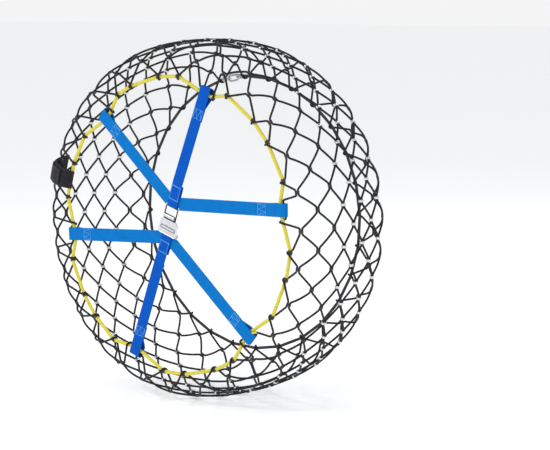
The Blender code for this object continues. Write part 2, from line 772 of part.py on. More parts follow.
def build():
    clear_scene()
    black_cord = finish_of("black_cord", (0.015, 0.016, 0.018), 0.75)
    yellow_cord = finish_of("yellow_cord", (0.78, 0.70, 0.12), 0.7)
    inner_yarn = finish_of("inner_yarn", (0.05, 0.05, 0.055), 0.75)
    dark_web = finish_of("dark_blue_webbing", (0.01, 0.10, 0.58), 0.7)
    light_web = finish_of("light_blue_webbing", (0.01, 0.22, 0.70), 0.7)
    tab_cloth = finish_of("black_tab_cloth", (0.012, 0.012, 0.014), 0.85)
    bright_steel = finish_of("bright_steel", (0.75, 0.76, 0.78), 0.25, 1.0)
    dark_steel = finish_of("dark_steel", (0.10, 0.10, 0.11), 0.4, 1.0)
    panel_plastic = finish_of("panel_plastic", (0.55, 0.56, 0.58), 0.45)

    for band in range(LAST_ROW):
        net_row(band, black_cord)
    for number, (row, step) in enumerate(clip_spots(), 1):
        road_clip(number, row, step, bright_steel)

    outer_cord(yellow_cord)
    outer_cord_sleeve(dark_steel)

    middle_strap("strap_upper_right", RING_TOP, UPPER_STACK, UPPER_TURN_BACK, dark_web)
    middle_strap("strap_lower_left", -BAR_AT, LOWER_STACK, LOWER_TURN_BACK, dark_web)
    upper_notch = (UPPER_NOTCH, RING_HALF_WIDTH + RING_WIRE + GAP)
    lower_notch = (LOWER_NOTCH, BAR_HALF_LENGTH + GAP)
    for name, layer in (("strap_upper_left", 0.5), ("strap_right", -0.5)):
        side_strap(name, UPPER_HUB, upper_notch, UPPER_STACK, layer, light_web)
    for name, layer in (("strap_left", 0.5), ("strap_lower_right", -0.5)):
        side_strap(name, LOWER_HUB, lower_notch, LOWER_STACK, layer, light_web)

    link_ring(dark_steel)
    hook_plate(bright_steel)
    strap_bar(bright_steel)
    label_panel(panel_plastic)

    inner_cord(inner_yarn)
    snap_hook(bright_steel)
    gate(bright_steel)
    gate_pin(bright_steel)
    inner_eye(bright_steel)

    closing_tab(tab_cloth)


build()
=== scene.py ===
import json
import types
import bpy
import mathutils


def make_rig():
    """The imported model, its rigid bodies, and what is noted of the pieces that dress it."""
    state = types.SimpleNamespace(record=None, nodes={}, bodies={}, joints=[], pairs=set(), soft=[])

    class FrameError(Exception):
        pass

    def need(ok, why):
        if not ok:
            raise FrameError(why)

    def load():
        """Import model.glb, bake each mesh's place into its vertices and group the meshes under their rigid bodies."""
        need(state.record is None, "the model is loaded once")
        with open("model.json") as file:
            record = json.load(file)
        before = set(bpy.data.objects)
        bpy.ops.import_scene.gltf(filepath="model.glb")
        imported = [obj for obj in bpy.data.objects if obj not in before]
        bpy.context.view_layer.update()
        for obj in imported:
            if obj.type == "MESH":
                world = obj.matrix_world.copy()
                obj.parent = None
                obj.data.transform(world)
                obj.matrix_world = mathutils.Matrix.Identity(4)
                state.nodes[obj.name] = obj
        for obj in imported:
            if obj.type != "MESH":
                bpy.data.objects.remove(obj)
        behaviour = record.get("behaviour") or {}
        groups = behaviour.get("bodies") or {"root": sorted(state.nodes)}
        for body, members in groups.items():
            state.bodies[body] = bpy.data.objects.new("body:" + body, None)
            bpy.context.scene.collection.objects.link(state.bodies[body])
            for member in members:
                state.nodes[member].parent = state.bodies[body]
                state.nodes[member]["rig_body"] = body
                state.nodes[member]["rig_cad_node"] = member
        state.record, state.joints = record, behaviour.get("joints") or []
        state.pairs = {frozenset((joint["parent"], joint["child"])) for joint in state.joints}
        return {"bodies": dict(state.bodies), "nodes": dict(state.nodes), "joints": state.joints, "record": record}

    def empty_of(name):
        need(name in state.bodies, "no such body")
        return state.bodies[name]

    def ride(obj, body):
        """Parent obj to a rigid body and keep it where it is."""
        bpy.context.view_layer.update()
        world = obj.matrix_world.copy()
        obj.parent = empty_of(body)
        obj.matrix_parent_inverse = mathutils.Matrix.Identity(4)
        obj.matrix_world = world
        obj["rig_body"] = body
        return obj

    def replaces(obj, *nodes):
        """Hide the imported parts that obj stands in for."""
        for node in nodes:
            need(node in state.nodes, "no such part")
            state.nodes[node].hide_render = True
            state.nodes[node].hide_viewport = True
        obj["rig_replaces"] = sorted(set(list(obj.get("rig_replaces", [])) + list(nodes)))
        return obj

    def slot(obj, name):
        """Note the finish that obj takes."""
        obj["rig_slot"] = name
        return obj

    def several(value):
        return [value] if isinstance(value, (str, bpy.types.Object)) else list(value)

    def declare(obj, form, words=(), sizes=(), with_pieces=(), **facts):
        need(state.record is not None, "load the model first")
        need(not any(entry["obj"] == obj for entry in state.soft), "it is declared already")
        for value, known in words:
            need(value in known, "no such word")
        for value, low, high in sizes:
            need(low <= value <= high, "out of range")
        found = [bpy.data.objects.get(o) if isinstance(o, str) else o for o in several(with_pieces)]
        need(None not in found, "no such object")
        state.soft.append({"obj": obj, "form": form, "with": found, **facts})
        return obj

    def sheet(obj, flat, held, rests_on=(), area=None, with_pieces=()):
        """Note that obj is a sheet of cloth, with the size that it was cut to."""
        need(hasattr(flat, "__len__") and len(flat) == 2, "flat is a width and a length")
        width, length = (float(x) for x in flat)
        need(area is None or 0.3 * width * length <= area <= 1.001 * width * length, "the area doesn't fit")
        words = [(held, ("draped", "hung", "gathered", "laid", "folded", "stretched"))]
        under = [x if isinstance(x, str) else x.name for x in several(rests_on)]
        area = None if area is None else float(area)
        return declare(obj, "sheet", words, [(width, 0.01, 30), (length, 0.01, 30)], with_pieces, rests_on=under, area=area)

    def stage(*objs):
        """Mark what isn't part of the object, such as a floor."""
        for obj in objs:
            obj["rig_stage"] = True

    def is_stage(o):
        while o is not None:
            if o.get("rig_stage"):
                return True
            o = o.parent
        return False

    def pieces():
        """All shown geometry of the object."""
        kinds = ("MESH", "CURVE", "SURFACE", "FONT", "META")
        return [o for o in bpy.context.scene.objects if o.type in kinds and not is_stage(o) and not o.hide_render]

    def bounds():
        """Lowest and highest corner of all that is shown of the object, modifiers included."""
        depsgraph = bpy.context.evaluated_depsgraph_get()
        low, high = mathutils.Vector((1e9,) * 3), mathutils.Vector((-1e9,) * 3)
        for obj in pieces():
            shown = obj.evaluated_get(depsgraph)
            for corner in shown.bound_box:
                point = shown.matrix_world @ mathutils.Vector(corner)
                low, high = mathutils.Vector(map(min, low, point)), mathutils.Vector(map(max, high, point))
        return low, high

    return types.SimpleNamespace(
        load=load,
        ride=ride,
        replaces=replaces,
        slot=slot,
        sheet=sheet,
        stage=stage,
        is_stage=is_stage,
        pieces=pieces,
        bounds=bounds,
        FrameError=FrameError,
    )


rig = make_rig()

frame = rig.load()

import json
import math

import bmesh
import bpy
import numpy as np
from mathutils import Vector

cad_low, cad_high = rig.bounds()

# Sizes and places that part.py also uses, in metres and radians
SECTION_HALF_WIDTH = 0.1244
CROWN_RADIUS = 0.3471
WIDEST_RADIUS = 0.3001
SECTION_POWER = 2.73
DIAMONDS = 28
CROWN_ROW_Y = -0.0039
OUTBOARD_GAPS = (0.0277, 0.0283, 0.0369, 0.0346, 0.0301)
INBOARD_GAPS = (0.0279, 0.0290, 0.0280, 0.0340, 0.0320, 0.0300)
LAST_ROW = len(OUTBOARD_GAPS) + len(INBOARD_GAPS)
HALF_STEPS = 2 * DIAMONDS
HALF_STEP = 2 * math.pi / HALF_STEPS
FIRST_ANGLE = math.radians(71.7)
NET_SKEW = math.radians(7.7)
TIP_SWAY = math.radians(1.34)
CLIP_ROWS = range(4, 9)
STRAP_TIPS = {"strap_upper_right": 0, "strap_upper_left": 5, "strap_left": 9,
              "strap_lower_left": 14, "strap_lower_right": 19, "strap_right": 23}
STRAP_STEPS = [2 * tip for tip in STRAP_TIPS.values()]
STRAP_CORD_RADIUS = 0.267
OUTER_SHIFT = (0.0071, -0.0060)
TIP_TURNS = {4: -2.0, 5: -6.5, 6: -2.0, 7: -4.5, 13: -2.5, 19: -3.0}
STRAIGHT_RUN = 0.0135
SLEEVE_TIP = STRAP_TIPS["strap_lower_right"]
LAYER_PITCH = 0.0017
LOOP_HALF = 0.0060
LOOP_END = 0.0078
DOUBLED_LENGTH = 0.052
HUB_FLAT = 0.028
UPPER_TURN_BACK, LOWER_TURN_BACK = 0.0430, 0.0425
WEB_HALF_WIDTH = 0.0125
WEB_THICKNESS = 0.0014
BUCKLE_Y = -0.134
BUCKLE_SIDE = 0.0047
UPPER_HUB, UPPER_NOTCH = 0.0420, 0.0388
LOWER_HUB, LOWER_NOTCH = -0.0275, -0.0242
HUB_OVERLAP = 0.006
UPPER_STACK = 0.0025
LOWER_STACK = -0.0048
RING_WIRE = 0.00125
RING_HALF_WIDTH = 0.01485
RING_TOP, RING_BOTTOM = 0.0365, 0.0091
RING_CORNER = 0.003
PLATE_THICKNESS = 0.002
PLATE_HALF_WIDTH = 0.0232
SHOULDER_HALF_WIDTH = 0.0165
TONGUE_HALF_WIDTH = 0.013
ROLL_CENTRE = (0.0032, 0.0152)
ROLL_RADIUS = 0.0032
BAR_AT = 0.0190
BAR_RADIUS = 0.0014
EAR_INNER, EAR_OUTER = 0.0210, 0.0228
BAR_HALF_LENGTH = 0.0245
GAP = 0.0003
HOOK_STEP = 3
SOCKET_RADIUS = 0.0050
SOCKET_START, SOCKET_END = 0.0190, 0.0262
HOOK_WIRE = 0.0020
GATE_PIVOT = (-0.0105, 0.0052)
GATE_LENGTH = 0.0158
GATE_HALF_THICKNESS = 0.0013
GATE_PIN_RADIUS = 0.0009
TAB_THICKNESS = 0.0035
TAB_FLAP_THICKNESS = 0.0025
TAB_ANGLE = math.radians(165.5)
TAB_HALF_WIDTH = 0.019

# Sizes of what is made here
NET_CORD_RADIUS = 0.00205
OUTER_CORD_RADIUS = 0.0035
INNER_CORD_RADIUS = 0.0030
CORD_STEP = 0.0015
STRANDS = 8.0
RIB_PITCH = 0.0026
WARP_PITCH, WEFT_PITCH = 0.0009, 0.00065
WORN_FROM = 0.0112  # how far out a strap's paler border starts

# ---- materials ----

class Nodes:
    """The node tree of a material or world, and short ways to add nodes to it."""

    def __init__(self, owner):
        owner.use_nodes = True
        self.owner, self.tree = owner, owner.node_tree

    def add(self, kind, inputs=None, **settings):
        """A node whose inputs, by name or number, get a value each or another node's output."""
        node = self.tree.nodes.new("ShaderNode" + kind)
        for key, value in settings.items():
            setattr(node, key, value)
        for key, value in (inputs or {}).items():
            self.feed(node.inputs[key], value)
        return node

    def feed(self, socket, value):
        if isinstance(value, bpy.types.NodeSocket):
            self.tree.links.new(value, socket)
        else:
            socket.default_value = (*value, 1.0) if socket.type == "RGBA" else value

    def maths(self, operation, *values):
        return self.add("Math", dict(enumerate(values)), operation=operation).outputs[0]

    def ridges(self, value, pitch=1.0):
        """Round ridges whose tops lie a pitch apart."""
        wave = self.maths("SINE", self.maths("MULTIPLY", value, math.pi / pitch))
        return self.maths("ABSOLUTE", wave)

    def uv(self, name):
        place = self.add("UVMap", uv_map=name).outputs[0]
        return self.add("SeparateXYZ", {0: place}).outputs[:2]

    def place(self):
        return self.add("TexCoord").outputs["Object"]

    def noise(self, scale, detail=2.0, rough=0.5, at=None):
        return self.add("TexNoise", {"Scale": scale, "Detail": detail, "Roughness": rough,
                                     "Vector": at or self.place()}).outputs["Fac"]

    def stretch(self, *scale):
        return self.add("Mapping", {"Vector": self.place(), "Scale": scale}).outputs[0]

    def ramp(self, value, *stops):
        node = self.add("ValToRGB", {0: value})
        steps = node.color_ramp.elements
        while len(steps) < len(stops):
            steps.new(0.5)
        for step, (at, colour) in zip(steps, stops):
            step.position, step.color = at, (*colour, 1.0)
        return node.outputs[0]

    def spread(self, *values):
        """Maps a value from a low and a high to another low and high, or to 0 and 1."""
        return self.add("MapRange", dict(enumerate(values))).outputs[0]

    def mix(self, share, a, b):
        return self.add("Mix", {0: share, 6: a, 7: b}, data_type="RGBA").outputs[2]

    def bump(self, height, strength, distance, under=None):
        inputs = {"Height": height, "Strength": strength, "Distance": distance}
        if under:
            inputs["Normal"] = under
        return self.add("Bump", inputs).outputs[0]

    def finish(self, colour, roughness, normal=None, **constants):
        """Feeds the material's shader. constants are the values that are the same all over."""
        inputs = {"Base Color": colour, "Roughness": roughness}
        if normal:
            inputs["Normal"] = normal
        inputs.update((name.replace("_", " "), value) for name, value in constants.items())
        for name, value in inputs.items():
            self.feed(self.tree.nodes["Principled BSDF"].inputs[name], value)
        return self.owner


def new_material(name):
    return Nodes(bpy.data.materials.new(name))


def braid_material(name, dark, light, glint, pitch, glint_share=0.5):
    """Braided yarn: strands that cross at a slant, with painted shade between the strands, painted pale glints and a
    soft sheen.
    """
    m = new_material(name)
    turn, along = m.uv("cord")
    around = m.maths("MULTIPLY", turn, STRANDS)
    forward = m.maths("DIVIDE", along, pitch)
    waves = [m.ridges(m.maths(way, around, forward)) for way in ("ADD", "SUBTRACT")]
    checker = m.maths("SINE", m.maths("MULTIPLY", forward, 2 * math.pi))
    checker = m.maths("GREATER_THAN", checker, 0)
    over = m.maths("MULTIPLY_ADD", m.maths("SUBTRACT", waves[0], waves[1]), checker, waves[1])
    height = m.maths("MAXIMUM", m.maths("MULTIPLY", waves[0], 0.8), over)
    # painted shade: the strand height darkens the colour where the strands sink between their crossings; the noise
    # adds random tone
    shade = m.maths("MULTIPLY_ADD", m.noise(260, 4, 0.7), 0.5, m.maths("MULTIPLY", height, 0.55))
    colour = m.ramp(shade, (0.15, dark), (0.85, light))
    # painted highlights: small pale glints scattered at random over the yarn
    glints = m.spread(m.noise(900, 2, 0.6), 0.56, 0.70, 0.0, glint_share)
    colour = m.mix(glints, colour, glint)
    yarn = m.noise(2600, 2, 0.6)
    normal = m.bump(yarn, 0.35, 0.00006, m.bump(height, 0.8, 0.00022))
    rough = m.spread(height, 0.0, 1.0, 0.87, 0.72)
    return m.finish(colour, rough, normal, Specular_IOR_Level=0.22, Sheen_Weight=0.04)


def webbing_material(name, deep, main, light):
    """Ribbed webbing: ribs across it, a fine twill on them, painted shade in the hollows of both, and paler worn
    edges.
    """
    m = new_material(name)
    across, along = m.uv("web")
    rib = m.maths("MULTIPLY", m.maths("DIVIDE", along, RIB_PITCH), 2 * math.pi)
    rib = m.maths("MULTIPLY_ADD", m.maths("COSINE", rib), 0.5, 0.5)
    cloth = m.maths("MAXIMUM", m.ridges(across, WARP_PITCH), m.ridges(along, WEFT_PITCH))
    # painted shade: darker in the hollows between the ribs and between the twill's threads, lighter on their tops; the
    # noise adds random tone
    shade = m.maths("MULTIPLY_ADD", rib, 0.75, m.maths("MULTIPLY", m.noise(70, 4, 0.6), 0.25))
    shade = m.maths("MULTIPLY_ADD", cloth, 0.16, shade)
    colour = m.ramp(shade, (0.14, deep), (0.55, main), (0.98, light))
    edge = m.spread(m.maths("ABSOLUTE", across), WORN_FROM, WEB_HALF_WIDTH, 0.0, 0.35)
    colour = m.mix(m.maths("MULTIPLY", edge, m.noise(300, 3, 0.6)), colour, light)
    normal = m.bump(cloth, 0.5, 0.00007, m.bump(rib, 0.6, 0.0002))
    rough = m.spread(shade, 0.0, 1.0, 0.75, 0.52)
    return m.finish(colour, rough, normal, Specular_IOR_Level=0.06)


def thread_material(name, colour, shade):
    """Glossy sewing thread with fine fibres."""
    m = new_material(name)
    tone = m.mix(m.noise(1500, 2), colour, shade)
    return m.finish(tone, m.spread(m.noise(900, 2), 0.3, 0.7, 0.4, 0.6), Sheen_Weight=0.4)


def steel_material(name, tone, roughness, stain):
    """Plated steel with fine drawn scratches, smears and dull spots."""
    m = new_material(name)
    lines = m.noise(1.0, 4, 0.7, m.stretch(2200, 90, 90))
    smear = m.noise(60, 3, 0.6)
    low = tuple(0.82 * c for c in tone)
    colour = m.mix(m.spread(smear, 0.35, 0.65), low, tone)
    colour = m.mix(m.spread(m.noise(240, 4, 0.7), 0.58, 0.72, 0.0, 0.55), colour, stain)
    rough = m.maths("MULTIPLY_ADD", smear, 0.25, roughness - 0.08)
    return m.finish(colour, rough, m.bump(lines, 0.03, 0.0001), Metallic=1.0)


def cloth_material(name, dark, light):
    """Dense coated cloth with a diagonal weave, with painted shade in the weave's hollows."""
    m = new_material(name)
    weave = m.noise(1.0, 2, 0.5, m.stretch(1400, 1400, 500))
    # painted shade: the raised weave is lighter and its hollows darker; the larger noise adds random tone
    shade = m.maths("MULTIPLY_ADD", m.noise(90, 4, 0.65), 0.6, m.maths("MULTIPLY", weave, 0.4))
    colour = m.ramp(shade, (0.3, dark), (0.75, light))
    normal = m.bump(weave, 0.7, 0.0002, m.bump(m.noise(45, 3), 0.3, 0.001))
    rough = m.spread(shade, 0.2, 0.8, 0.9, 0.7)
    return m.finish(colour, rough, normal, Specular_IOR_Level=0.2, Sheen_Weight=0.05)


def panel_material(name, tone, dark):
    """Satin plastic with faint dirt and a fine grain."""
    m = new_material(name)
    colour = m.mix(m.spread(m.noise(160, 4, 0.6), 0.45, 0.75, 0.0, 0.5), tone, dark)
    grain = m.bump(m.noise(900, 2), 0.2, 0.0001)
    return m.finish(colour, m.spread(m.noise(90, 3), 0.3, 0.7, 0.35, 0.5), grain)


# ---- meshes ----

def add_piece(name, mesh, material):
    """A piece made from a mesh, whose normals are turned outwards."""
    work = bmesh.new()
    work.from_mesh(mesh)
    bmesh.ops.recalc_face_normals(work, faces=work.faces)
    work.to_mesh(mesh)
    work.free()
    mesh.materials.append(material)
    item = bpy.data.objects.new(name, mesh)
    bpy.context.collection.objects.link(item)
    return item


def grid_piece(name, rows, material, closed=False, uv_name="cord", across=None, along=None):
    """A skin over rows of points that each close on themselves. closed joins last to first.

    across and along are the texture coordinates of a row's points and of the rows.
    """
    rows = np.array(rows)
    count, sides = rows.shape[:2]
    across = np.arange(sides + 1) / sides if across is None else across
    along = 0.001 * np.arange(count + 1) if along is None else along
    spans = count if closed else count - 1
    i, j = np.mgrid[:spans, :sides].reshape(2, -1)
    corners = ((i, j), (i, j + 1), (i + 1, j + 1), (i + 1, j))
    quads = np.stack([a % count * sides + b % sides for a, b in corners], 1)
    uvs = np.stack([np.stack([across[b], along[a]], 1) for a, b in corners], 1).reshape(-1, 2)
    faces = quads.tolist()
    if not closed:
        faces += [range(sides)[::-1], range((count - 1) * sides, count * sides)]
        ends = [np.repeat([[0.0, along[end]]], sides, 0) for end in (0, -1)]
        uvs = np.concatenate([uvs, *ends])
    mesh = bpy.data.meshes.new(name)
    mesh.from_pydata(rows.reshape(-1, 3).tolist(), [], faces)
    layer = mesh.uv_layers.new(name=uv_name)
    layer.data.foreach_set("uv", uvs.astype(np.float32).ravel())
    mesh.shade_smooth()
    return add_piece(name, mesh, material)


def resample(points, step, closed):
    """Points at an even spacing of about step along a line."""
    line = np.array([*points, points[0]] if closed else points)
    lengths = np.linalg.norm(np.diff(line, axis=0), axis=1)
    at = np.concatenate([[0.0], np.cumsum(lengths)])
    count = max(int(round(at[-1] / step)), 4)
    wanted = np.linspace(0, at[-1], count + 1)[: -1 if closed else None]
    return np.stack([np.interp(wanted, at, line[:, k]) for k in range(3)], 1)


def smooth_line(points, step, rounds, closed=False):
    """A resampled line whose corners are softened in rounds."""
    points = resample(points, step, closed)
    for _ in range(rounds):
        ends = points[[0, -1]]
        points = 0.5 * points + 0.25 * (np.roll(points, -1, 0) + np.roll(points, 1, 0))
        if not closed:
            points[[0, -1]] = ends
    return points


def unit(v):
    return v / np.linalg.norm(v, axis=-1, keepdims=True)


def frames_along(points, closed):
    """Two sideways directions at each point that turn as little as they can."""
    ways = np.roll(points, -1, 0) - np.roll(points, 1, 0) if closed else np.gradient(points, axis=0)
    ways = unit(ways)
    side = unit(np.cross(ways[0], [0.3, 1.0, 0.2]))
    sides = [side]
    for way in ways[1:]:
        side = side - way * side.dot(way)
        side = side / math.sqrt(side.dot(side))
        sides.append(side)
    sides = np.array(sides)
    others = np.cross(ways, sides)
    if closed:
        back = sides[-1] - ways[0] * sides[-1].dot(ways[0])
        miss = math.atan2(back.dot(others[0]), back.dot(sides[0]))
        turn = -miss * np.arange(len(points)) / len(points)
        c, s = np.cos(turn)[:, None], np.sin(turn)[:, None]
        sides, others = c * sides + s * others, c * others - s * sides
    return sides, others


def cord_piece(name, points, radius, sides, material, closed=False, relief=0.00012, lobes=4,
               pitch=0.0046, frayed=False):
    """A braided cord whose surface rises where its strands cross. A frayed one ends thicker."""
    count = len(points)
    a, b = frames_along(points, closed)
    turns = 2 * np.pi * np.arange(sides) / sides
    step = np.linalg.norm(np.diff(points, axis=0), axis=1).mean()
    along = step * np.arange(count + 1)
    phase = 2 * np.pi * along[:count, None] / pitch
    weave = np.maximum(np.cos(lobes * turns + phase), np.cos(lobes * turns - phase))
    size = radius + relief * (weave - 0.6)
    if frayed:
        share = along[:count, None] / along[count - 1]
        size = size * (1.0 + 0.12 * np.clip((share - 0.8) / 0.2, 0, 1) ** 2)
    rings = points[:, None] + size[..., None] * (
        np.cos(turns)[None, :, None] * a[:, None] + np.sin(turns)[None, :, None] * b[:, None]
    )
    return grid_piece(name, rings, material, closed, along=along)


def wire_piece(name, points, radius, sides, material, closed=False):
    """A smooth round wire or thread along points."""
    return cord_piece(name, np.array(points), radius, sides, material, closed, relief=0)


def coil(rounds, steps, place, radius, sides, material):
    """Thread through place(turn, share), where share goes from -1 to 1 over the rounds."""
    turns = np.linspace(0, 2 * math.pi * rounds, rounds * steps + 1)
    points = [place(turn, 2 * n / (len(turns) - 1) - 1) for n, turn in enumerate(turns)]
    return wire_piece("wind", points, radius, sides, material)


def sewn(start, end, pitch, profile, place):
    """Stitches from start to end, (across, distance) pairs, as lists of points.

    profile has (share of the pitch, rise) pairs, and place takes across, distance and rise.
    """
    start, end = np.array(start), np.array(end)
    count = max(int(round(np.linalg.norm(end - start) / pitch)), 1)
    return [[place(*(start + (end - start) * (n + share) / count), rise)
             for share, rise in profile] for n in range(count)]


def sides_of(corners):
    """Pairs of neighbouring corners, all the way round."""
    return zip(corners, corners[1:] + corners[:1])


def join(name, items):
    """Makes one piece of several that share nothing but a body."""
    bpy.ops.object.select_all(action="DESELECT")
    for item in items:
        item.select_set(True)
    bpy.context.view_layer.objects.active = items[0]
    bpy.ops.object.join()
    items[0].name = items[0].data.name = name
    return items[0]


def arc(centre, radius, start, end, steps):
    turns = np.radians(np.linspace(start, end, steps + 1))
    return [(centre[0] + radius * math.cos(t), centre[1] + radius * math.sin(t)) for t in turns]


def applied(item, kind, **settings):
    """Puts a modifier on a piece and applies it."""
    step = item.modifiers.new(kind, kind)
    for key, value in settings.items():
        setattr(step, key, value)
    bpy.context.view_layer.update()
    seen = item.evaluated_get(bpy.context.evaluated_depsgraph_get())
    made = bpy.data.meshes.new_from_object(seen)
    item.modifiers.remove(step)
    item.data = made
    return item


def bevelled(item, width, segments=3):
    """Rounds a piece's sharp edges."""
    applied(item, "BEVEL", width=width, segments=segments, limit_method="ANGLE",
            angle_limit=math.radians(35))
    item.data.shade_smooth()
    item.data.set_sharp_from_angle(angle=math.radians(40))
    return item


def cut_away(item, cutter):
    """Cuts cutter out of item, and removes cutter."""
    applied(item, "BOOLEAN", operation="DIFFERENCE", solver="EXACT", object=cutter)
    bpy.data.objects.remove(cutter, do_unlink=True)


def prism_piece(name, outline, place, near, far, material):
    """An outline of (a, b) pairs pushed from near to far, where place takes a, b and that."""
    count = len(outline)
    points = [place(*p, end) for end in (near, far) for p in outline]
    faces = [range(count), range(count, 2 * count)]
    faces += [(i, (i + 1) % count, count + (i + 1) % count, count + i) for i in range(count)]
    mesh = bpy.data.meshes.new(name)
    mesh.from_pydata(points, [], faces)
    return add_piece(name, mesh, material)


def put(item, slot, *nodes, body="chain"):
    """Says what a piece rides on, its material slot and the nodes that it replaces."""
    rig.ride(item, body)
    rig.slot(item, slot)
    if nodes:
        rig.replaces(item, *nodes)
    return item


# ---- the tyre's section and the net's crossings ----

def section_curve():
    turn = math.pi * np.linspace(-0.8, 0.8, 2001)
    s, c = np.sin(turn), np.cos(turn)
    size = (abs(s) ** SECTION_POWER + abs(c) ** SECTION_POWER) ** (-1 / SECTION_POWER)
    y = SECTION_HALF_WIDTH * size * s
    r = WIDEST_RADIUS + (CROWN_RADIUS - WIDEST_RADIUS) * size * c
    along = np.concatenate([[0.0], np.cumsum(np.hypot(np.diff(y), np.diff(r)))])
    return y, r, along


CURVE_Y, CURVE_R, ALONG = section_curve()
CROWN = ALONG[np.argmin(abs(CURVE_Y - CROWN_ROW_Y) + (CURVE_R < WIDEST_RADIUS))]
ROW_DISTANCES = np.concatenate([CROWN - np.cumsum(OUTBOARD_GAPS)[::-1], [CROWN],
                                CROWN + np.cumsum(INBOARD_GAPS)])
ROW_Y = np.interp(ROW_DISTANCES, ALONG, CURVE_Y)
ROW_R = np.interp(ROW_DISTANCES, ALONG, CURVE_R)
OUTER_Y, OUTER_RADIUS = ROW_Y[0], ROW_R[0]
INNER_Y, INNER_RADIUS = ROW_Y[LAST_ROW], ROW_R[LAST_ROW]
AXLE = np.array([0.0, 1.0, 0.0])


def spoke(angle):
    """The ways outwards and round the wheel at an angle."""
    c, s = math.cos(angle), math.sin(angle)
    return np.array([c, 0.0, s]), np.array([-s, 0.0, c])


def net_angle(row, step):
    angle = FIRST_ANGLE + step * HALF_STEP + NET_SKEW * (ROW_Y[row] - OUTER_Y)
    if row == 0:
        angle += TIP_SWAY if (step // 2) % 2 else -TIP_SWAY
        angle += math.radians(TIP_TURNS.get(step // 2, 0.0))
    return angle


def hung(angle, radius):
    """A radius of the outer cord, whose middle lies a little off the axle."""
    return radius + OUTER_SHIFT[0] * math.cos(angle) + OUTER_SHIFT[1] * math.sin(angle)


def at_ring(angle, radius, y, around=0.0, out=0.0, over=0.0):
    outward, round_way = spoke(angle)
    return outward * (radius + out) + round_way * around + AXLE * (y + over)


def on_tyre(distance, angle, lift=0.0):
    """A place on the tyre's surface, by the distance along its section and the angle."""
    (y, y2), (r, r2) = (np.interp([distance, distance + 1e-4], ALONG, curve)
                        for curve in (CURVE_Y, CURVE_R))
    lift /= math.hypot(y2 - y, r2 - r)
    return spoke(angle)[0] * (r + (y2 - y) * lift) + AXLE * (y - (r2 - r) * lift)


# ---- net ----

KISS_RUN = 0.0055  # half the length over which two cords lie side by side at a crossing
KISS_SETBACK = 0.00218  # how far each lies from the crossing's middle
OUTER_WRAP, INNER_WRAP = 0.0060, 0.0054  # how far a net cord lies off the cord it turns round
WRAP_SPREAD = 0.0026
WIND_RUN, WIND_BACK, WIND_LIFT, WIND_THREAD = 0.0030, 0.0046, 0.0025, 0.00042
TIP_WIND_RUN, TIP_WIND_RADIUS, TIP_WIND_TAPER, TIP_THREAD = 0.0043, 0.0039, 0.045, 0.00052


def wrap_points(angle, radius, y, away, shift=0.0, size=OUTER_WRAP):
    """Half a turn round a cord, on the side of the axle."""
    points = []
    for turn in np.linspace(0, math.pi, 8):
        c, s = math.cos(turn), math.sin(turn)
        around = shift - WRAP_SPREAD * c
        points.append(at_ring(angle, radius, y, around, -size * s, away * size * c))
    return points


def strap_tip_points(angle):
    """Round the outer cord beside a strap's loop, and then over the loop."""
    radius = hung(angle, STRAP_CORD_RADIUS)
    route = wrap_points(angle, radius + 0.0014, OUTER_Y, -1, -0.0205)
    for around, out, over in ((-0.0165, 0.0075, 0.003), (-0.0145, 0.0078, 0), (0.0178, 0.0078, 0)):
        route.append(at_ring(angle, radius, OUTER_Y, around, out, over))
    return route


def leg(start, end):
    """Points on the tyre between two (distance, angle) pairs, without the two ends."""
    return [on_tyre(*place) for place in np.linspace(start, end, 13)[1:-1]]


def net_row_path(band):
    """A net row's points all the way round, hugging the tyre between its crossings."""
    points, last = [], None
    for step in range(HALF_STEPS + 1):
        row = band + (step - band) % 2
        angle, sway = net_angle(row, step), KISS_RUN / ROW_R[row]
        distance = ROW_DISTANCES[row] + (KISS_SETBACK if row == band else -KISS_SETBACK)
        ends = [(distance, angle - sway), (distance, angle + sway)]
        crossing = 0 < row < LAST_ROW
        if crossing and last:
            points += leg(last, ends[0])
        last = crossing and ends[1]
        if step == HALF_STEPS:
            return points
        if crossing:
            points += [on_tyre(*end) for end in ends]
        elif row:
            points += wrap_points(angle, INNER_RADIUS, INNER_Y, 1, 0.0, INNER_WRAP)
        elif step in STRAP_STEPS:
            points += strap_tip_points(angle)
        else:
            points += wrap_points(angle, hung(angle, OUTER_RADIUS), OUTER_Y, -1)


def net_cords(material):
    for band in range(LAST_ROW):
        points = smooth_line(net_row_path(band), CORD_STEP, 3, True)
        item = cord_piece(f"net_cord_{band + 1:02d}", points, NET_CORD_RADIUS, 12, material, True)
        put(item, "black_cord", f"net_row_{band + 1:02d}")


def whippings(material):
    """Thread wound round both cords where no clip holds them."""
    items = []
    for row in range(1, LAST_ROW):
        if row in CLIP_ROWS:
            continue
        for step in range(row % 2, HALF_STEPS, 2):

            def place(turn, share):
                angle = net_angle(row, step) + WIND_RUN * share / ROW_R[row]
                distance = ROW_DISTANCES[row] + WIND_BACK * math.cos(turn)
                return on_tyre(distance, angle, WIND_LIFT * math.sin(turn))

            items.append(coil(5, 10, place, WIND_THREAD, 5, material))
    put(join("net_whippings", items), "black_cord")


def tip_whippings(material):
    """Thread wound round the outer cord inside each loop of the net's tips."""
    items = []
    for step in range(0, HALF_STEPS, 2):
        if step in STRAP_STEPS:
            continue

        def place(turn, share):
            angle, around = net_angle(0, step), TIP_WIND_RUN * share
            out = TIP_WIND_RADIUS * math.cos(turn) - TIP_WIND_TAPER * abs(around)
            over = TIP_WIND_RADIUS * math.sin(turn)
            return at_ring(angle, hung(angle, OUTER_RADIUS), OUTER_Y, around, out, over)

        items.append(coil(9, 12, place, TIP_THREAD, 6, material))
    put(join("tip_whippings", items), "black_cord")


CLIP_HALF_GAP, CLIP_BEND = 0.0024, 0.0027
# A clip's section along the cords: (around, how far it stands out) pairs
CLIP_SECTION = ((-0.0025, 0.0), (-0.0025, 0.0005), (-0.0021, 0.0008), (0.0, 0.00095),
                (0.0021, 0.0008), (0.0025, 0.0005), (0.0025, 0.0))


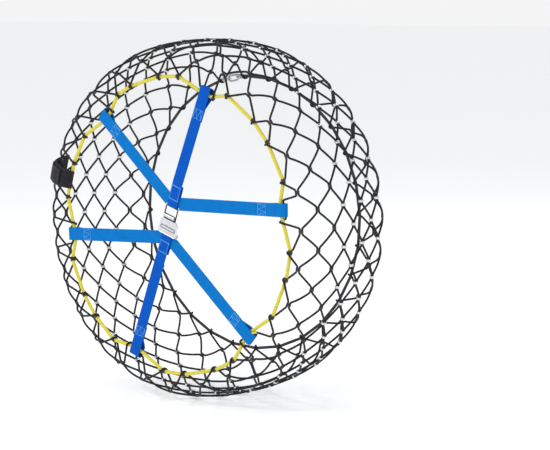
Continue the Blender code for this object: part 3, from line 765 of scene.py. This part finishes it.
def road_clips(material):
    """Bands round the two cords of each crossing on the tread."""
    outline = [(side * CLIP_HALF_GAP + CLIP_BEND * math.cos(turn), CLIP_BEND * math.sin(turn))
               for side in (1, -1)
               for turn in (math.radians(side * 90 - 30 * n) for n in range(7))]
    items = []
    for row in CLIP_ROWS:
        for step in range(row % 2, HALF_STEPS, 2):
            rings = []
            for around, grow in CLIP_SECTION:
                angle = net_angle(row, step) + around / ROW_R[row]
                ring = []
                for back, lift in outline:
                    size = 1 + grow / math.hypot(back, lift)
                    ring.append(on_tyre(ROW_DISTANCES[row] + back * size, angle, lift * size))
                rings.append(ring)
            items.append(grid_piece("clip", rings, material, True))
    nodes = [n for n in frame["nodes"] if n.startswith("road_clip_")]
    put(join("road_clips", items), "bright_steel", *nodes)


# ---- outer and inner cords ----

BRAID_INSET, BRAID_PITCH = 0.0001, 0.0036
TAIL_RADIUS = 0.0021


def outer_cord(material):
    centre = net_angle(0, 2 * SLEEVE_TIP)
    joined = hung(centre, STRAP_CORD_RADIUS)
    points = [at_ring(centre, joined, OUTER_Y, run) for run in (GAP, STRAIGHT_RUN)]
    for move in range(1, DIAMONDS):
        tip = (SLEEVE_TIP + move) % DIAMONDS
        angle = net_angle(0, 2 * tip)
        if 2 * tip in STRAP_STEPS:
            radius, runs = hung(angle, STRAP_CORD_RADIUS), (-STRAIGHT_RUN, STRAIGHT_RUN)
        else:
            radius, runs = hung(angle, OUTER_RADIUS), (0.0,)
        points += [at_ring(angle, radius, OUTER_Y, run) for run in runs]
    points += [at_ring(centre, joined, OUTER_Y, run) for run in (-STRAIGHT_RUN, -GAP)]
    item = cord_piece("outer_cord_braid", smooth_line(points, 0.0009, 4),
                      OUTER_CORD_RADIUS - BRAID_INSET, 24, material, relief=0.00016, lobes=8,
                      pitch=BRAID_PITCH)
    put(item, "yellow_cord", "outer_cord")
    tail = [at_ring(centre, joined, OUTER_Y, a, out, over) for a, out, over in
            ((0.0125, 0.0046, -0.0045), (0.0150, 0.0062, -0.0056), (0.0185, 0.0082, -0.0060),
             (0.0215, 0.0105, -0.0058))]
    item = cord_piece("outer_cord_tail", smooth_line(tail, 0.0006, 3), TAIL_RADIUS, 16, material,
                      lobes=6, pitch=0.003, frayed=True)
    put(item, "yellow_cord")


def inner_place(around, out, over):
    angle = net_angle(LAST_ROW, HOOK_STEP) + HALF_STEP
    return at_ring(angle, INNER_RADIUS * math.cos(HALF_STEP), INNER_Y, around, out, over)


def inner_cord(material):
    tips = [HOOK_STEP + 2 * move for move in range(1, DIAMONDS + 1)]
    points = [at_ring(net_angle(LAST_ROW, step), INNER_RADIUS, INNER_Y) for step in tips]
    points = [inner_place(0.0205, 0, 0)] + points + [inner_place(-0.0205, 0, 0)]
    item = cord_piece("inner_cord_braid", smooth_line(points, 0.0010, 4),
                      INNER_CORD_RADIUS - BRAID_INSET, 18, material, relief=0.00014, lobes=6,
                      pitch=BRAID_PITCH)
    put(item, "inner_yarn", "inner_cord")


def turned(name, stations, place, material):
    """A turned piece through (along, radius) stations. place takes along and two offsets."""
    turns = 2 * math.pi * np.arange(20) / 20
    rings = [[place(along, size * math.cos(t), size * math.sin(t)) for t in turns]
             for along, size in stations]
    item = grid_piece(name, rings, material)
    item.data.set_sharp_from_angle(angle=math.radians(40))
    return item


CRIMP_LIP = 0.0004  # how much is rounded off a socket's mouth
HEAD_HALF, HEAD_SLOT = 0.0034, 0.0016
FINGER_RADIUS = 0.0022
EYE_WIRE = 0.00155


def socket(name, side, material):
    """A cup crimped in two places round the end of the inner cord."""
    stations = [(SOCKET_START - 0.0026, 0.0020), (SOCKET_START - 0.0020, 0.0032)]
    for along in np.linspace(SOCKET_START, SOCKET_END - CRIMP_LIP, 20):
        dents = sum(math.exp(-((along - at) / 0.0007) ** 2) for at in (0.0212, 0.0240))
        stations.append((along, SOCKET_RADIUS - 0.0008 * dents))
    stations += [(SOCKET_END, SOCKET_RADIUS - CRIMP_LIP), (SOCKET_END, INNER_CORD_RADIUS + GAP)]
    item = turned(name, stations, lambda a, x, y: inner_place(side * a, x, y), material)
    put(item, "bright_steel")


def inner_closure(material):
    """The snap hook with its forked head, gate and rivet, and the eye that it catches."""
    path = [(-0.0185, 0.0), (-0.0135, -0.0015), (-0.0105, -0.0052), (0.0045, -0.0060)]
    path += arc((0.0065, 0.0), 0.0060, -70, 70, 12) + [(0.0060, 0.0058)]
    points = smooth_line([inner_place(a, b, 0) for a, b in path], 0.0006, 4)
    put(wire_piece("inner_hook_wire", points, HOOK_WIRE - 0.00005, 18, material),
        "bright_steel", "inner_hook")
    socket("inner_hook_socket", -1, material)
    head = [(-0.0180, -0.0030), (-0.0120, -0.0030), (-0.0098, -0.0015), (-0.0082, 0.0030),
            (-0.0082, 0.0066), (-0.0128, 0.0066), (-0.0180, 0.0030)]
    fork = prism_piece("inner_hook_head", head, inner_place, -HEAD_HALF, HEAD_HALF, material)
    a, b = GATE_PIVOT
    slot = [(a + x, b + y) for x, y in
            ((-0.0030, -0.0048), (0.006, -0.0048), (0.006, 0.006), (-0.0030, 0.006))]
    cut_away(fork, prism_piece("slot", slot, inner_place, -HEAD_SLOT, HEAD_SLOT, material))
    put(bevelled(fork, 0.0004), "bright_steel")
    finger = arc(GATE_PIVOT, FINGER_RADIUS, 90, 270, 12)
    finger += [(a + GATE_LENGTH - x, b + y) for x, y in
               ((0.001, -0.0018), (0.0, -0.0010), (0.0005, FINGER_RADIUS))]
    gate = prism_piece("inner_gate_finger", finger, inner_place, -GATE_HALF_THICKNESS,
                       GATE_HALF_THICKNESS, material)
    put(bevelled(gate, 0.0003), "bright_steel", "inner_gate", body="gate")
    half = [(0.0037, GATE_PIN_RADIUS), (0.0037, 0.0018), (0.0042, 0.0017), (0.0045, 0.0010)]
    put(turned("gate_pin_rivet", [(-over, size) for over, size in half[::-1]] + half,
               lambda over, x, y: inner_place(a + x, b + y, over), material),
        "bright_steel", "gate_pin")
    bow = arc((0.0105, 0.0032), 0.0020, 180, 90, 6)
    bow += [(0.0135, 0.0052), (0.0180, 0.0018), (0.0180, -0.0018), (0.0135, -0.0052)]
    bow += arc((0.0105, -0.0032), 0.0020, 270, 180, 6)
    points = smooth_line([inner_place(along, 0, over) for along, over in bow], 0.0006, 3, True)
    put(wire_piece("inner_eye_bow", points, EYE_WIRE, 16, material, True), "bright_steel",
        "inner_eye")
    socket("inner_eye_socket", 1, material)


# ---- straps ----

BUCKLE_UP, BUCKLE_LEFT = spoke(FIRST_ANGLE)
LOOP_RUN = 0.008  # where a strap's loop starts to open, before the outer cord
HALF_TURN = [math.radians(15 * i - 90) for i in range(13)]
RIB_HEIGHT = 0.00011
SEW_PITCH = 0.0027
SEW_PROFILE = ((0.08, -0.0002), (0.206, 0.0001), (0.5, 0.00028), (0.794, 0.0001), (0.92, -0.0002))
SEW_HALF, HUB_SEW_HALF = 0.0105, 0.0118
SEW_THREAD = 0.00036


def on_buckle(right, up, out):
    return BUCKLE_UP * up - BUCKLE_LEFT * (right + BUCKLE_SIDE) + AXLE * (BUCKLE_Y - out)


def loop_path(reach, hub_y, flat_end):
    front, back = OUTER_Y - LOOP_HALF, OUTER_Y + LOOP_HALF
    bend = reach - LOOP_RUN
    path = [(bend, front)]
    for turn in HALF_TURN:
        out = LOOP_END + LOOP_HALF * math.cos(turn)
        path.append((reach + out, OUTER_Y + LOOP_HALF * math.sin(turn)))
    path.append((bend, back))
    for share in (0.5, 1.0):
        distance = reach - DOUBLED_LENGTH * share
        slope = (front - hub_y) * (bend - distance) / (bend - flat_end)
        path.append((distance, front - slope + LAYER_PITCH))
    return path


class Strap:
    """A webbing strap's path, and places on its outboard face."""

    def __init__(self, name, hub, stack, start, side=None):
        self.name = name
        angle = net_angle(0, 2 * STRAP_TIPS[name])
        tip = at_ring(angle, hung(angle, STRAP_CORD_RADIUS), 0.0)
        self.base = on_buckle(0, hub, 0)
        self.base[1] = 0.0
        self.reach = float(np.linalg.norm(tip - self.base))
        self.way = unit(tip - self.base)
        self.side = np.cross(self.way, [0, 1, 0]) if side is None else side
        path = [(distance, BUCKLE_Y - stack - out) for distance, out in start]
        self.flat_end, self.hub_y = path[-1]
        path += loop_path(self.reach, self.hub_y, self.flat_end)
        self.line = smooth_line([(d, y, 0.0) for d, y in path], RIB_PITCH / 4, 4)

    def place(self, across, distance, y):
        return self.base + self.way * distance + self.side * across + AXLE * y

    def front_y(self, distance):
        """The outboard layer's outer face at a distance from the hub."""
        ends = [self.flat_end, self.reach - LOOP_RUN]
        return np.interp(distance, ends, [self.hub_y, OUTER_Y - LOOP_HALF]) - WEB_THICKNESS / 2

    def build(self, material, notch=None):
        flat = self.line
        ways = unit(np.gradient(flat, axis=0))
        normals = ways[:, 1::-1] * (-1, 1)
        step = float(np.linalg.norm(np.diff(flat, axis=0), axis=1).mean())
        along = step * np.arange(len(flat) + 1)
        across = np.linspace(-1, 1, 13)
        edge = 1 - 0.35 * np.clip((abs(across) - 0.86) / 0.14, 0, 1) ** 2
        columns = WEB_HALF_WIDTH * np.concatenate([across, across[::-1]])
        rib = RIB_HEIGHT * np.cos(2 * np.pi * along[:-1, None] / RIB_PITCH)
        half = (WEB_THICKNESS / 2 - 0.0001 + rib) * np.concatenate([edge, -edge[::-1]])
        at = flat[:, None, :2] + normals[:, None] * half[..., None]
        rings = self.place(columns[:, None], at[..., :1], at[..., 1:])
        item = grid_piece(self.name + "_webbing", rings, material, False, "web",
                          np.append(columns, columns[0]), along)
        if notch:
            edge, half = notch
            far = edge - math.copysign(0.06, edge)
            outline = [(-half, edge), (half, edge), (half, far), (-half, far)]
            cut_away(item, prism_piece("notch", outline, on_buckle, -0.03, 0.03, material))
        return item

    def sew(self, start, end):
        def place(across, distance, rise):
            return self.place(across, distance, self.front_y(distance) - rise)

        return sewn(start, end, SEW_PITCH, SEW_PROFILE, place)


def strap_stitches(strap, back):
    """The sewn box with its zigzag by the cord, and for a turned-back strap the one by the hub."""
    near = strap.reach - DOUBLED_LENGTH + 0.003
    far = near + 0.018
    box = [(-SEW_HALF, near), (SEW_HALF, near), (SEW_HALF, far), (-SEW_HALF, far)]
    zigzag = [(SEW_HALF * n / 2, far if n % 2 else near) for n in range(-2, 3)]
    lines = []
    for a, b in [*sides_of(box), *zip(zigzag, zigzag[1:])]:
        lines += strap.sew(a, b)
    if back:
        low, high = 0.0135 if strap.name == "strap_upper_right" else 0.0175, back - 0.0030
        for distance in (low, low + 0.0014, high + 0.0014, high):
            lines += strap.sew((-HUB_SEW_HALF, distance), (HUB_SEW_HALF, distance))
        for side in (-SEW_HALF, SEW_HALF):
            lines += strap.sew((side, low), (side, high))
    return lines


def straps(light, dark, thread):
    half = 1.5 * LAYER_PITCH
    turn = [(-half * math.cos(a), half * math.sin(a)) for a in HALF_TURN]
    plans = []
    for name, bar, stack, back in (
        ("strap_upper_right", RING_TOP, UPPER_STACK, UPPER_TURN_BACK),
        ("strap_lower_left", -BAR_AT, LOWER_STACK, LOWER_TURN_BACK),
    ):
        start = [(back, -half)] + turn + [(back + 0.004, half)]
        plans.append((Strap(name, bar, stack, start, BUCKLE_LEFT), dark, None, back))
    upper = (UPPER_HUB, (UPPER_NOTCH, RING_HALF_WIDTH + RING_WIRE + GAP), UPPER_STACK)
    lower = (LOWER_HUB, (LOWER_NOTCH, BAR_HALF_LENGTH + GAP), LOWER_STACK)
    for name, (hub, notch, stack), layer in (
        ("strap_upper_left", upper, 0.5), ("strap_right", upper, -0.5),
        ("strap_left", lower, 0.5), ("strap_lower_right", lower, -0.5),
    ):
        out = layer * LAYER_PITCH
        start = [(-HUB_OVERLAP, out), (HUB_FLAT, out)]
        plans.append((Strap(name, hub, stack, start), light, notch, None))
    for strap, material, notch, back in plans:
        slot = "dark_blue_webbing" if material is dark else "light_blue_webbing"
        put(strap.build(material, notch), slot, strap.name)
        items = [wire_piece("stitch", line, SEW_THREAD, 6, thread)
                 for line in strap_stitches(strap, back)]
        put(join(strap.name + "_stitches", items), slot)


# ---- buckle ----

# The hook plate's outline: (height up the buckle, half width) pairs
PLATE_SHAPE = ((-0.0228, 0.0205), (-0.0222, 0.0218), (-0.0208, 0.0228),
               (-0.0190, PLATE_HALF_WIDTH), (0.0010, PLATE_HALF_WIDTH), (0.0024, 0.0229),
               (0.0040, 0.0213), (0.0090, SHOULDER_HALF_WIDTH), (0.0104, 0.0142),
               (0.0118, TONGUE_HALF_WIDTH))
PLATE_STEP = 0.0004
PLATE_ROUNDING = 0.0009
PRESS_LOW, PRESS_HIGH = -0.0222, 0.0100
PRESS_INSET, PRESS_WIDTH, PRESS_DEPTH = 0.0026, 0.0006, 0.00028
EAR_OUTLINE = ((-0.0236, -0.0058), (-0.0222, -0.0078), (-0.0160, -0.0078), (-0.0146, -0.0058),
               (-0.0132, -0.0004), (-0.0213, -0.0004))


def hook_plate(material):
    """The plate with its rolled lip, a pressed border and rounded edges, and two ears."""
    path = [(0.0012, -0.0228), (0.0, -0.0213), (0.0, 0.0110)]
    path += arc(ROLL_CENTRE, ROLL_RADIUS, 180, -90, 40)
    line = resample([(*p, 0.0) for p in path], PLATE_STEP, False)[:, :2]
    ways = unit(np.gradient(line, axis=0))
    normals = ways[:, ::-1] * (1, -1)
    ends = np.minimum(np.arange(len(line)), np.arange(len(line))[::-1]) * PLATE_STEP
    edge_size = np.sqrt(1 - (1 - np.clip(ends / PLATE_ROUNDING, 0.02, 1)) ** 2)
    thick = 0.5 * PLATE_THICKNESS
    edge = np.linspace(-math.pi / 2, math.pi / 2, 7)
    shares = np.linspace(-1, 1, 41)[1:-1]
    rings = []
    for (out, up), (n_out, n_up), size in zip(line, normals, thick * edge_size):
        rolled = up > 0 and out > 1e-4
        half = TONGUE_HALF_WIDTH if rolled else float(np.interp(up, *zip(*PLATE_SHAPE)))
        core = half - thick
        skin = []
        for side in (-1, 1):
            for across in core * shares[::-side]:
                rim = min(half - abs(across), up - PRESS_LOW, PRESS_HIGH - up)
                press = PRESS_DEPTH * math.exp(-((rim - PRESS_INSET) / PRESS_WIDTH) ** 2)
                skin.append((across, side * size - (0.0 if rolled or up < -0.02 else press)))
            skin += [(-side * (core + thick * math.cos(turn)), math.sin(turn) * size)
                     for turn in -side * edge]
        rings.append([on_buckle(across, up - lift * n_up, out - lift * n_out)
                      for across, lift in skin])
    sheet = grid_piece("hook_plate_sheet", rings, material, False, "web",
                       np.arange(len(skin) + 1) * 0.0005, np.arange(len(rings)) * PLATE_STEP)
    put(sheet, "bright_steel", "hook_plate", body="plate")
    for side, name in ((-1, "plate_ear_left"), (1, "plate_ear_right")):
        ear = prism_piece(name, EAR_OUTLINE, lambda up, out, right: on_buckle(right, up, out),
                          side * EAR_INNER, side * EAR_OUTER, material)
        put(bevelled(ear, 0.0004), "bright_steel", body="plate")


def round_corners(half, low, high, corner, steps):
    """The outline of a rectangle with round corners, as (across, up) pairs."""
    outline = []
    for right, up, start in ((1, 1, 0), (-1, 1, 90), (-1, -1, 180), (1, -1, 270)):
        centre = (right * (half - corner), (high if up > 0 else low) - up * corner)
        outline += arc(centre, corner, start, start + 90, steps)
    return outline


def link_ring(material):
    path = round_corners(RING_HALF_WIDTH, RING_BOTTOM, RING_TOP, RING_CORNER, 8)
    points = smooth_line([on_buckle(a, b, UPPER_STACK) for a, b in path], 0.0008, 2, True)
    item = wire_piece("link_ring_wire", points, RING_WIRE, 16, material, True)
    put(item, "dark_steel", "link_ring", body="ring")


def strap_bar(material):
    half = [(0.0, BAR_RADIUS), (BAR_HALF_LENGTH - 0.0007, BAR_RADIUS),
            (BAR_HALF_LENGTH - 0.0002, 0.8 * BAR_RADIUS), (BAR_HALF_LENGTH, 0.5 * BAR_RADIUS)]
    stations = [(-along, size) for along, size in half[:0:-1]] + half
    item = turned("strap_bar_rod", stations,
                  lambda along, x, y: on_buckle(along, x - BAR_AT, LOWER_STACK + y), material)
    put(item, "bright_steel", "strap_bar")


LABEL_HALF, LABEL_LOW, LABEL_HIGH, LABEL_CORNER = 0.0192, -0.0132, -0.0050, 0.0010
LABEL_SINK, LABEL_RISE = 0.0002, 0.0006
FRAME_LINE, DIAMOND_LINE = 0.00085, 0.00045
DIAMOND_PITCH, DIAMOND_WIDE, DIAMOND_TALL = 0.0078, 0.0017, 0.0010


def label(face, ink):
    """A blank satin panel with a dark frame and a plain row of diamonds."""
    front = PLATE_THICKNESS / 2 + GAP
    outline = round_corners(LABEL_HALF, LABEL_LOW, LABEL_HIGH, LABEL_CORNER, 4)
    plate = prism_piece("label_panel_face", outline, on_buckle, front - LABEL_SINK,
                        front + LABEL_RISE, face)
    put(bevelled(plate, 0.0002, 2), "panel_plastic", "label_panel", body="plate")
    up = 0.5 * (LABEL_LOW + LABEL_HIGH)
    lines = [([(0.93 * a, (b - up) * 0.70 + up) for a, b in outline], FRAME_LINE)]
    for n in range(4):
        middle = DIAMOND_PITCH * (n - 1.5)
        lines.append(([(middle + DIAMOND_WIDE, up), (middle, up + DIAMOND_TALL),
                       (middle - DIAMOND_WIDE, up), (middle, up - DIAMOND_TALL)], DIAMOND_LINE))
    items = []
    for line, radius in lines:
        points = resample([on_buckle(a, b, front + 0.0002) for a, b in line], 0.0004, True)
        items.append(wire_piece("line", points, radius, 6, ink, True))
    put(join("label_panel_lines", items), "panel_plastic", body="plate")


# ---- closing tab ----

TAB_ENDS = (ROW_DISTANCES[0] - 0.012, ROW_DISTANCES[3])
COVER_ENDS = np.interp([2 / 11, 9 / 11], [0, 1], TAB_ENDS)
COVER_HALF_WIDTH = TAB_HALF_WIDTH - 0.004
TAB_ROUNDING = 0.0018
SEAM_INSET, SEAM_WIDTH, SEAM_DEPTH = 0.0042, 0.0007, 0.00035
TAB_SEW_PROFILE = ((0.1, -0.0004), (0.25, 0.0), (0.5, 0.00012), (0.75, 0.0), (0.9, -0.0004))


def clear_of_net(distance):
    """How far the tab's inner face lies off the middle of the net."""
    share = np.clip((ROW_DISTANCES[1] - distance) / (ROW_DISTANCES[1] - ROW_DISTANCES[0]), 0, 1)
    return 0.0040 + 0.0066 * share


def clear_of_tab(distance):
    return clear_of_net(distance) + TAB_THICKNESS + 2 * GAP


def tab_layer(name, ends, half_width, lift_of, thickness, material):
    """A thick cloth patch over the shoulder, softly rounded at its border."""
    start, end = ends
    shares = np.linspace(-1, 1, 27)
    rings = []
    for distance in np.linspace(start, end, 54):
        ring = []
        for face in (1, -1):
            for share in shares[::face]:
                border = min(distance - start, end - distance, half_width * (1 - abs(share)))
                full = math.sqrt(max(1 - (1 - min(border / TAB_ROUNDING, 1.0)) ** 2, 0.0))
                seam = math.exp(-((border - SEAM_INSET) / SEAM_WIDTH) ** 2)
                wave = 0.00012 * math.sin(distance * 1900) * math.exp(-border / 0.003)
                half = 0.5 * thickness * (0.25 + 0.75 * full) - SEAM_DEPTH * seam
                lift = lift_of(distance) + 0.5 * thickness + face * half + wave
                ring.append(on_tyre(distance, TAB_ANGLE + share * half_width / OUTER_RADIUS, lift))
        rings.append(ring)
    across = np.concatenate([shares, shares[::-1], shares[:1]]) * half_width
    return grid_piece(name, rings, material, False, "web", across, np.linspace(start, end, 55))


def cut_size(ends, half_width, lift_of, thickness):
    """The flat width at its widest, the length and the area that a patch is cut to."""
    line = np.array([on_tyre(distance, TAB_ANGLE, lift_of(distance) + 0.5 * thickness)
                     for distance in np.linspace(*ends, 54)])
    steps = np.linalg.norm(np.diff(line, axis=0), axis=1)
    widths = 2 * half_width * np.hypot(line[:, 0], line[:, 2]) / OUTER_RADIUS
    area = float((steps * 0.5 * (widths[1:] + widths[:-1])).sum())
    return {"flat": (float(widths.max()), float(steps.sum())), "area": area}


def tab_stitches(name, ends, half_width, lift_of, thickness, sink, inset, thread):
    """A line of stitches all round a patch, inside its border and sunk into its face."""
    start, end, half = ends[0] + inset, ends[1] - inset, half_width - inset

    def place(across, distance, rise):
        lift = lift_of(distance) + thickness - sink + rise
        return on_tyre(distance, TAB_ANGLE + across / OUTER_RADIUS, lift)

    lines = []
    for a, b in sides_of([(-half, start), (half, start), (half, end), (-half, end)]):
        lines += sewn(a, b, 0.0030, TAB_SEW_PROFILE, place)
    items = [wire_piece("stitch", line, 0.0004, 6, thread) for line in lines]
    return put(join(name, items), "tab_cloth")


def closing_tab(cloth, flap_cloth, thread):
    tab_size = (TAB_ENDS, TAB_HALF_WIDTH, clear_of_net, TAB_THICKNESS)
    flap_size = (COVER_ENDS, COVER_HALF_WIDTH, clear_of_tab, TAB_FLAP_THICKNESS)
    tab = put(tab_layer("closing_tab_cloth", *tab_size, cloth), "tab_cloth", "closing_tab")
    flap = put(tab_layer("closing_tab_cover", *flap_size, flap_cloth), "tab_cloth",
               "closing_tab_flap")
    hem = tab_stitches("closing_tab_stitches", *tab_size, 0.0002, 0.0021, thread)
    seam = tab_stitches("closing_tab_cover_stitches", *flap_size, 0.0003, SEAM_INSET, thread)
    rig.sheet(tab, held="stretched", rests_on=["net_cord_01", "net_cord_02", "net_cord_03"],
             with_pieces=[hem], **cut_size(*tab_size))
    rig.sheet(flap, held="stretched", rests_on=["closing_tab_cloth"], with_pieces=[seam],
             **cut_size(*flap_size))


# ---- scene ----

CAMERA_YAW, CAMERA_PITCH, CAMERA_DISTANCE = math.radians(40.8), math.radians(6.1), 4.10
CAMERA_LENS = 136.9
AIM_RIGHT, AIM_DOWN = 0.121, 0.0155  # how far beside the wheel's centre the camera aims
FLOOR_DROP, FLOOR_HALF, FLOOR_GLOW = 0.0005, 40.0, 0.20
SWEEP_WHITE, SOFT_LIGHT = 0.91, 0.78  # the sky's brightness for the camera and for cloth
SKY_TONES = ((0.12, 0.92), (0.85, 0.10))  # (height, brightness) pairs
LIGHTS = (("key", (-1.6, -3.4, 3.2), 1.2, 62), ("fill", (3.4, -2.2, 1.2), 2.0, 18),
          ("rim", (0.5, 3.0, 2.6), 1.6, 26))


def aimed(name, data, place, aim):
    """A camera or lamp at a place, looking at aim."""
    item = bpy.data.objects.new(name, data)
    item.location = place
    item.rotation_mode = "QUATERNION"
    item.rotation_quaternion = (Vector(aim) - Vector(place)).to_track_quat("-Z", "Y")
    bpy.context.collection.objects.link(item)
    return item


def camera():
    flat = math.cos(CAMERA_PITCH)
    back = Vector((math.sin(CAMERA_YAW) * flat, -math.cos(CAMERA_YAW) * flat,
                   math.sin(CAMERA_PITCH)))
    right = (-back).cross(Vector((0, 0, 1))).normalized()
    aim = right * AIM_RIGHT - right.cross(-back) * AIM_DOWN
    data = bpy.data.cameras.new("camera")
    data.sensor_width, data.lens = 36.0, CAMERA_LENS
    bpy.context.scene.camera = aimed("camera", data, back * CAMERA_DISTANCE, aim)


def sky():
    """Flat white for the camera, darker upwards for what mirrors it, even for the rest."""
    w = Nodes(bpy.data.worlds.new("studio"))
    height = w.add("SeparateXYZ", {0: w.add("TexCoord").outputs["Generated"]}).outputs[2]
    tones = w.ramp(height, *((at, (tone, tone, 1.02 * tone)) for at, tone in SKY_TONES))
    shown = w.add("Background", {"Color": (0.97, 0.985, 1.0), "Strength": SOFT_LIGHT})
    rays = w.add("LightPath")
    for ray, colour, strength in (("Is Glossy Ray", tones, 1.0),
                                  ("Is Camera Ray", (1, 1, 1), SWEEP_WHITE)):
        above = w.add("Background", {"Color": colour, "Strength": strength})
        shown = w.add("MixShader", {0: rays.outputs[ray], 1: shown.outputs[0],
                                    2: above.outputs[0]})
    w.feed(w.tree.nodes["World Output"].inputs["Surface"], shown.outputs[0])
    bpy.context.scene.world = w.owner


def studio():
    """The sky, three soft lamps, and a white floor that glows a little."""
    sky()
    bpy.context.scene.view_settings.view_transform = "Standard"
    for name, place, size, power in LIGHTS:
        data = bpy.data.lights.new(name, "AREA")
        data.shape, data.size, data.energy = "DISK", size, power
        aimed(name, data, place, (0, 0, 0))
    mesh = bpy.data.meshes.new("floor")
    corners = [(x * FLOOR_HALF, y * FLOOR_HALF, cad_low.z - FLOOR_DROP)
               for x, y in ((-1, -1), (1, -1), (1, 1), (-1, 1))]
    mesh.from_pydata(corners, [], [(0, 1, 2, 3)])
    m = new_material("floor_paint")
    tone = m.mix(m.noise(3, 3), (0.89, 0.89, 0.90), (0.91, 0.91, 0.91))
    paint = m.finish(tone, 0.85, Specular_IOR_Level=0.1, Emission_Color=(1, 1, 1),
                     Emission_Strength=FLOOR_GLOW)
    floor = add_piece("floor", mesh, paint)
    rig.stage(floor)


# Each braid's colours: in the painted shade between strands, on the strand tops, and of its painted glints
CORD_BLACK = ((0.003, 0.003, 0.0035), (0.021, 0.020, 0.020), (0.11, 0.095, 0.085))
CORD_YELLOW = ((0.46, 0.37, 0.015), (0.82, 0.73, 0.09), (0.93, 0.87, 0.28))
CORD_GREY = ((0.010, 0.010, 0.012), (0.045, 0.045, 0.05), (0.16, 0.16, 0.17))
black = braid_material("black_braid", *CORD_BLACK, 0.0016)
yellow = braid_material("yellow_braid", *CORD_YELLOW, 0.0018, glint_share=0.3)
inner = braid_material("inner_braid", *CORD_GREY, 0.0018)
# Each webbing's colours: in the painted shade of its hollows, its main colour, and on its rib tops and worn edges
light_web = webbing_material(
    "light_blue_web", (0.0, 0.062, 0.29), (0.001, 0.155, 0.52), (0.004, 0.25, 0.68))
dark_web = webbing_material(
    "dark_blue_web", (0.0, 0.026, 0.23), (0.0, 0.078, 0.48), (0.003, 0.14, 0.64))
thread = thread_material("blue_thread", (0.16, 0.50, 0.98), (0.06, 0.36, 0.86))
black_thread = thread_material("black_thread", (0.008, 0.008, 0.008), (0.035, 0.033, 0.032))
bright = steel_material("bright_plate", (0.76, 0.77, 0.80), 0.26, (0.42, 0.42, 0.44))
clip_steel = steel_material("clip_plate", (0.78, 0.79, 0.82), 0.28, (0.36, 0.36, 0.37))
zinc = steel_material("zinc_plate", (0.50, 0.51, 0.53), 0.32, (0.26, 0.26, 0.27))
dark_wire = steel_material("dark_wire", (0.055, 0.055, 0.06), 0.34, (0.13, 0.12, 0.10))
tab_cloth = cloth_material("tab_cloth", (0.005, 0.005, 0.007), (0.026, 0.026, 0.030))
flap_cloth = cloth_material("tab_flap_cloth", (0.008, 0.008, 0.010), (0.040, 0.040, 0.045))
panel = panel_material("panel_face", (0.66, 0.67, 0.69), (0.42, 0.42, 0.44))
ink = panel_material("panel_lines", (0.012, 0.012, 0.014), (0.03, 0.03, 0.03))

net_cords(black)
whippings(black_thread)
tip_whippings(black_thread)
road_clips(clip_steel)
outer_cord(yellow)
inner_cord(inner)
inner_closure(zinc)
straps(light_web, dark_web, thread)
hook_plate(bright)
strap_bar(zinc)
link_ring(dark_wire)
label(panel, ink)
closing_tab(tab_cloth, flap_cloth, black_thread)

sleeve = bpy.data.objects["outer_cord_sleeve"]
sleeve.data.materials.clear()
sleeve.data.materials.append(dark_wire)

camera()
studio()

new_low, new_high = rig.bounds()
with open("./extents.json", "w") as f:
    json.dump({"cad": [list(cad_low), list(cad_high)], "visual": [list(new_low), list(new_high)]}, f)
